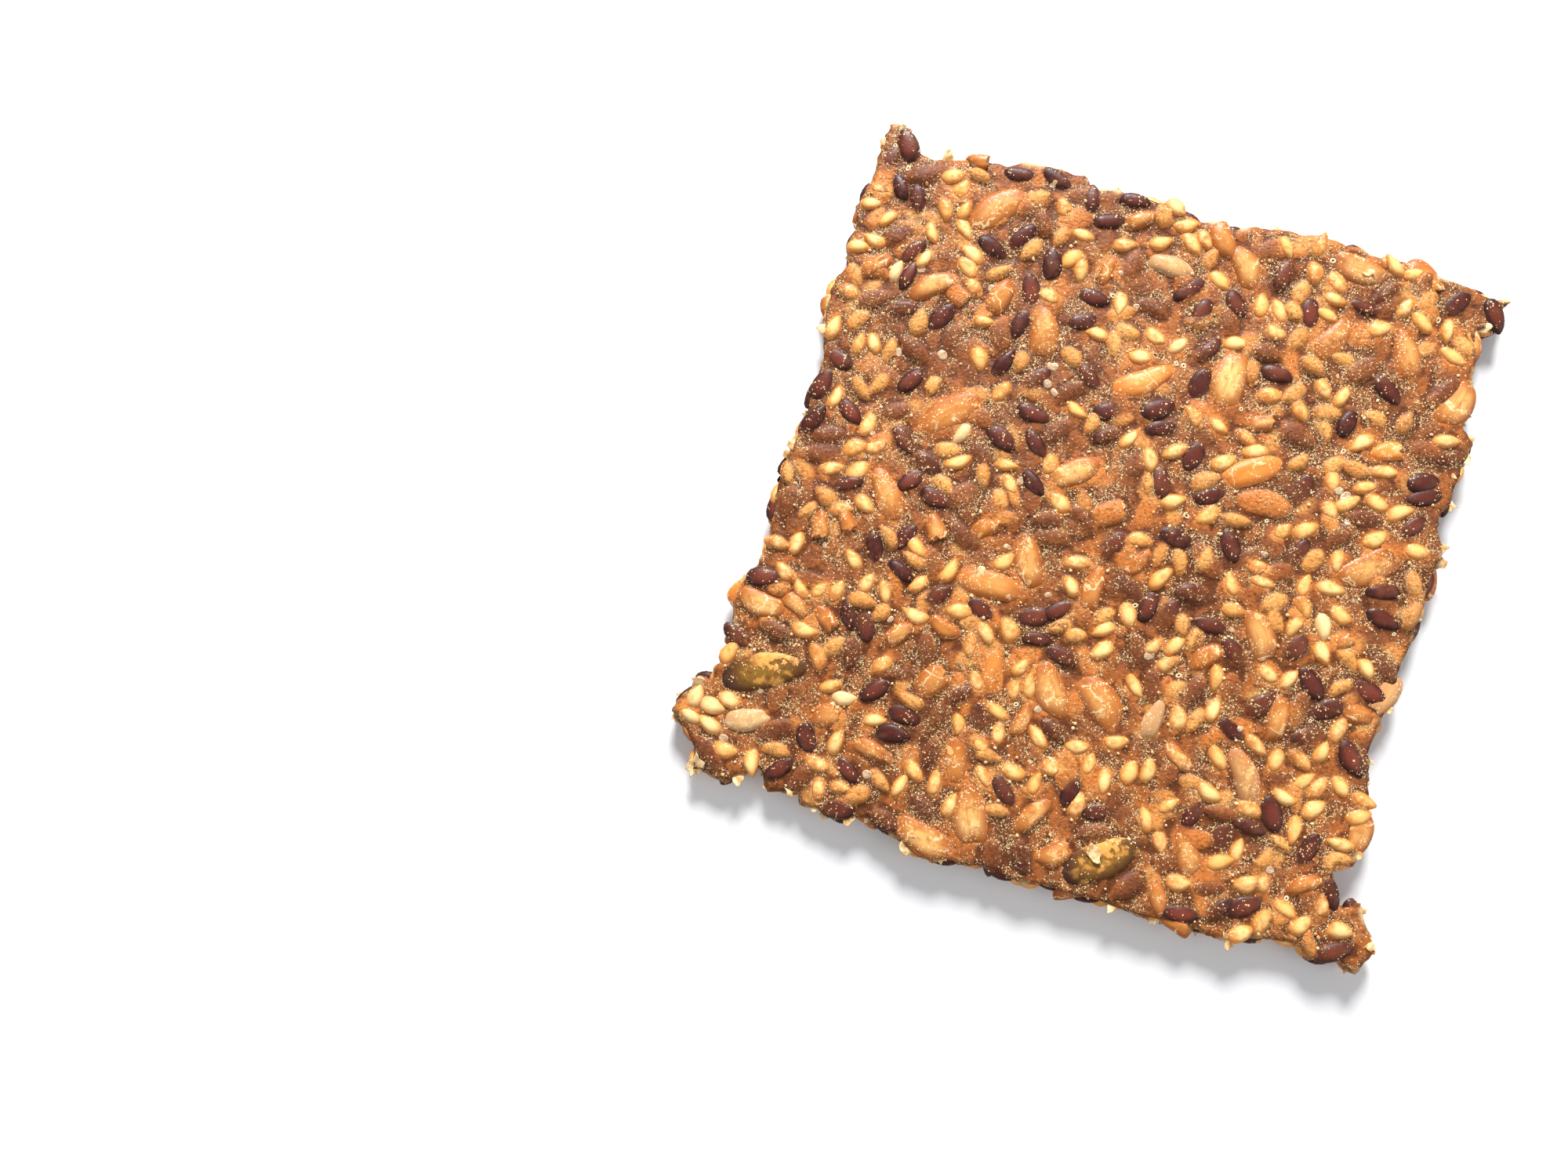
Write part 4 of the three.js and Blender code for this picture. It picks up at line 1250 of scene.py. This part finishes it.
# %% Seed skins
def cracks(tree, cell):
    """Thin bent lines, as where a dry kernel has split."""
    place = tree.nodes.new("ShaderNodeTexCoord").outputs["Object"]
    bent = bent_place(tree, place, noise(tree, cell * 0.6, 4.0, "Color"), cell * 0.9 * MM)
    return ramp(tree, cell_walls(tree, bent, 1 / (cell * MM)), 0.005, 0.03, 1.0, 0.0)


def grain(tree):
    """Streaks along the kernel, other ones on each."""
    slim = add_node(tree, "ShaderNodeVectorMath", {"operation": "MULTIPLY"})
    put(tree, slim.inputs[0], mark(tree, "skin", "Vector"))
    put(tree, slim.inputs[1], (1.4, 5.0, 0.0))
    streaks = add_node(tree, "ShaderNodeTexNoise", {"noise_dimensions": "4D"}, Vector=slim.outputs[0])
    put(tree, streaks.inputs["W"], times(tree, mark(tree, "tone"), 30.0))
    put(tree, streaks.inputs["Scale"], 1.0)
    return streaks.outputs["Fac"]


def skin_colors(tree, pale, deep, edge, film, foot_height):
    """Pale in the middle, the edge's colour at rim and tip, film at the foot and in veils, and painted
    shade where it meets the film.
    """
    place = skin_place(tree)
    body = mix_colors(tree, mark(tree, "tone"), pale, deep)
    round_edge = ramp(tree, place.outputs["Z"], 0.25, 0.92, 0, 0.95)
    to_tip = ramp(tree, place.outputs["X"], 0.3, 1.0, 0, 0.5)
    body = mix_colors(tree, calculate(tree, "MAXIMUM", round_edge, to_tip), body, edge)
    body = mix_colors(tree, patches(tree, 1.1, 0.50, 0.72, 0, 0.6), body, film)
    clear = calculate(tree, "ADD", mark(tree, "clear"), patches(tree, 0.8, 0.3, 0.7, -0.07, 0.07))
    foot = ramp(tree, clear, -0.02, foot_height, 1.0, 0.0)
    body = mix_colors(tree, foot, body, film)
    # painted shade: a dark brown line in the seam where the seed meets the film
    seam_shade = ramp(tree, mark(tree, "clear"), -0.01, 0.07, 0.7, 0.0)
    return mix_colors(tree, seam_shade, body, screen(104, 52, 22)), foot


def finish_skin(tree, shader, body, foot, specked, gloss, shine):
    """Froth on the film, a little relief and the gloss, the same for every kind of seed."""
    frothy = times(tree, patches(tree, 2.0, 0.42, 0.62), specked)
    share = calculate(tree, "MAXIMUM", frothy, times(tree, foot, 0.5))
    dots = froth(tree, 0.28, share)
    body = mix_colors(tree, times(tree, dots, 0.85), body, screen(255, 224, 168))
    put(tree, shader.inputs["Base Color"], body)
    bump = add_node(tree, "ShaderNodeBump", Strength=0.4, Distance=0.08 * MM, Height=noise(tree, 0.4))
    put(tree, shader.inputs["Normal"], bump.outputs[0])
    put(tree, shader.inputs["Roughness"], patches(tree, 0.9, 0.3, 0.7, gloss, gloss + 0.16))
    shader.inputs["Specular IOR Level"].default_value = shine


def pumpkin_skin():
    """Olive brown, with tan patches where the skin is rubbed off and a dark tip and outline."""
    material, tree, shader = start_material("pumpkin_skin")
    body, foot = skin_colors(tree, screen(156, 116, 44), screen(134, 94, 38), screen(88, 54, 30),
                             screen(124, 74, 38), 0.12)
    along, across, _ = skin_place(tree).outputs
    ragged = calculate(tree, "ADD", across, patches(tree, 1.6, 0.3, 0.7, -0.4, 0.4, detail=4.0))
    rubbed = times(tree, ramp(tree, ragged, 0.25, 0.4), ramp(tree, along, -0.3, 0.0))
    rubbed = times(tree, rubbed, ramp(tree, along, 0.6, 0.8, 1.0, 0.0))
    mottled = patches(tree, 1.5, 0.52, 0.66, 0, 0.7, detail=5.0)
    body = mix_colors(tree, calculate(tree, "MAXIMUM", rubbed, mottled), body, screen(226, 160, 80))
    body = mix_colors(tree, patches(tree, 0.9, 0.5, 0.7, 0, 0.6), body, screen(92, 58, 34))
    body = mix_colors(tree, ramp(tree, along, -0.95, -0.4, 1.0, 0.0), body, screen(66, 40, 32))
    finish_skin(tree, shader, body, foot, specked=0.3, gloss=0.40, shine=0.15)
    return material


def sunflower_skin():
    """Pale kernel, orange towards its rim, chipped to the flesh in places; odd ones are grey or orange."""
    material, tree, shader = start_material("sunflower_kernel")
    body, foot = skin_colors(tree, screen(245, 190, 115), screen(198, 122, 56), screen(160, 84, 34),
                             screen(172, 96, 40), 0.24)
    body = mix_colors(tree, ramp(tree, grain(tree), 0.48, 0.66, 0, 0.55), body, screen(198, 118, 52))
    odd = mark(tree, "odd")
    body = mix_colors(tree, ramp(tree, odd, -0.5, -0.4, 0.6, 0.0), body, screen(214, 180, 132))
    body = mix_colors(tree, ramp(tree, odd, 0.36, 0.5, 0.0, 0.7), body, screen(244, 146, 62))
    clear = ramp(tree, foot, 0.1, 0.6, 1.0, 0.0)
    chip = times(tree, patches(tree, 1.9, 0.63, 0.67, 0, 0.6, detail=4.0), clear)
    body = mix_colors(tree, chip, body, screen(248, 200, 132))
    split = times(tree, cracks(tree, 6.0), patches(tree, 2.4, 0.5, 0.56, 0, 0.7))
    body = mix_colors(tree, times(tree, split, clear), body, screen(252, 222, 172))
    finish_skin(tree, shader, body, foot, specked=0.6, gloss=0.30, shine=0.24)
    return material


def flax_skin():
    """From purple brown to red brown, hazy where a little film lies on it."""
    material, tree, shader = start_material("flax_skin")
    body, foot = skin_colors(tree, screen(72, 31, 27), screen(122, 56, 40), screen(56, 27, 22),
                             screen(100, 55, 34), 0.10)
    body = mix_colors(tree, patches(tree, 1.6, 0.50, 0.68, 0, 0.4), body, screen(118, 70, 50))
    finish_skin(tree, shader, body, foot, specked=0.35, gloss=0.34, shine=0.22)
    return material


def sesame_skin():
    """Pale yellow, orange under a veil of film; a few are pearly white."""
    material, tree, shader = start_material("sesame_skin")
    body, foot = skin_colors(tree, screen(254, 221, 148), screen(250, 192, 108), screen(222, 140, 62),
                             screen(208, 122, 50), 0.20)
    pearly = ramp(tree, mark(tree, "odd"), -0.5, -0.46, 0.5, 0.0)
    body = mix_colors(tree, pearly, body, screen(250, 224, 168))
    finish_skin(tree, shader, body, foot, specked=0.5, gloss=0.34, shine=0.28)
    return material


skins = {
    "pumpkin": pumpkin_skin(), "sunflower": sunflower_skin(),
    "flax": flax_skin(), "sesame": sesame_skin(),
}


# %% [markdown]
# ## Scraps and bubbles
# Thin film lets light through where it stands alone, so scraps and blisters look much paler than the film
# on the dough. Plain pale colours do that here, which is cheaper than light inside such thin bodies.

# %% Flakes, crumbs, rings and blisters
def scrap_material():
    material, tree, shader = start_material("dry_film_scrap")
    blotches = patches(tree, 0.8, 0.4, 0.65)
    body = mix_colors(tree, blotches, screen(244, 214, 160), screen(206, 148, 84))
    put(tree, shader.inputs["Base Color"], body)
    put(tree, shader.inputs["Roughness"], patches(tree, 1.5, 0.3, 0.7, 0.4, 0.6))
    return material


def bubble_material():
    material, tree, shader = start_material("bubble_ring")
    # the middle of each ring is painted shade, dark as the hole it stands for, on a flat floor just above
    # the film
    ring = ramp(tree, skin_place(tree).outputs["X"], 0.30, 0.50)
    body = mix_colors(tree, ring, screen(44, 28, 20), screen(236, 206, 160))
    put(tree, shader.inputs["Base Color"], body)
    shader.inputs["Roughness"].default_value = 0.4
    return material


def blister_material():
    material, tree, shader = start_material("film_blister")
    cloudy = patches(tree, 0.5, 0.4, 0.6)
    body = mix_colors(tree, cloudy, screen(168, 136, 104), screen(204, 168, 128))
    dots = froth(tree, 0.25, 0.5)
    body = mix_colors(tree, times(tree, dots, 0.8), body, screen(244, 226, 196))
    put(tree, shader.inputs["Base Color"], body)
    shader.inputs["Roughness"].default_value = 0.3
    return material


dry_scrap = scrap_material()
bubble = bubble_material()
blister = blister_material()

# %% [markdown]
# ## Dressing the pieces
# Every piece gets its material, moves with the one body and stands for the plain model's node.

# %% Materials on pieces
dressing = {
    "dough_smooth_face": smooth_dough, "dough_rough_face": rough_dough,
    "film_flakes": dry_scrap, "crumbs": dry_scrap, "bubble_rings": bubble, "film_blisters": blister,
}
dressing.update({kind + "_seeds": skins[kind] for kind in KINDS})
for name, material in dressing.items():
    piece = pieces[name]
    piece.data.materials.append(material)
    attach(piece, "root")
    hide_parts("cracker")

# %% [markdown]
# ## Floor, light and camera
# A white table top under soft light from above, and a camera that looks down on the face. One lamp like a
# near window gives the seeds their shadows, and two weak wide ones keep those shadows open.

# %% Stage
HALF_FLOOR = 1.2            # metres, as are the places of the lamps
floor_mesh = bpy.data.meshes.new("floor")
corners = [(x * HALF_FLOOR, y * HALF_FLOOR, 0) for x, y in ((-1, -1), (1, -1), (1, 1), (-1, 1))]
floor_mesh.from_pydata(corners, [], [(0, 1, 2, 3)])
floor = bpy.data.objects.new("floor", floor_mesh)
bpy.context.scene.collection.objects.link(floor)
table, table_tree, table_shader = start_material("white_table")
cloudy = patches(table_tree, 60, 0.4, 0.6)
put(table_tree, table_shader.inputs["Base Color"],
    mix_colors(table_tree, cloudy, screen(240, 240, 242), screen(244, 244, 245)))
table_shader.inputs["Roughness"].default_value = 0.6
floor_mesh.materials.append(table)

world = bpy.data.worlds.new("soft_room")
world.use_nodes = True
background = world.node_tree.nodes["Background"]
background.inputs["Color"].default_value = (0.97, 0.98, 1.0, 1)
background.inputs["Strength"].default_value = 0.30
bpy.context.scene.world = world


def soft_light(name, place, size, power):
    """A round lamp, given in metres and watts, that shines on the middle of the cracker."""
    data = bpy.data.lights.new(name, "AREA")
    data.shape = "DISK"
    data.size = size
    data.energy = power
    lamp = bpy.data.objects.new(name, data)
    lamp.location = place
    lamp.rotation_euler = (-Vector(place)).to_track_quat("-Z", "Y").to_euler()
    bpy.context.scene.collection.objects.link(lamp)


soft_light("window_light", (-0.14, 0.6, 0.38), 0.25, 10.3)
soft_light("right_fill", (0.6, 0.0, 0.4), 0.5, 1.2)
soft_light("near_fill", (-0.4, -0.45, 0.45), 0.5, 1.2)

# %% Camera
IMAGE_WIDTH = 2000
FOCAL_PIXELS = 1502         # how far the picture plane is from the eye, in pixels of the picture
camera_place = Vector((-19.7, -31.4, 163.9)) * MM
photo_ahead = Vector((-0.1152, 0.0749, -0.9905))
photo_up = Vector((-0.2852, 0.9527, 0.1052))
back = -photo_ahead.normalized()
right = photo_up.cross(back).normalized()
up = back.cross(right)
camera_data = bpy.data.cameras.new("camera")
camera_data.lens = camera_data.sensor_width * FOCAL_PIXELS / IMAGE_WIDTH
camera = bpy.data.objects.new("camera", camera_data)
camera.matrix_world = Matrix.Translation(camera_place) @ Matrix((right, up, back)).transposed().to_4x4()
bpy.context.scene.collection.objects.link(camera)
bpy.context.scene.camera = camera
bpy.context.scene.view_settings.view_transform = "Standard"
print("camera lens", round(camera_data.lens, 2), "mm")
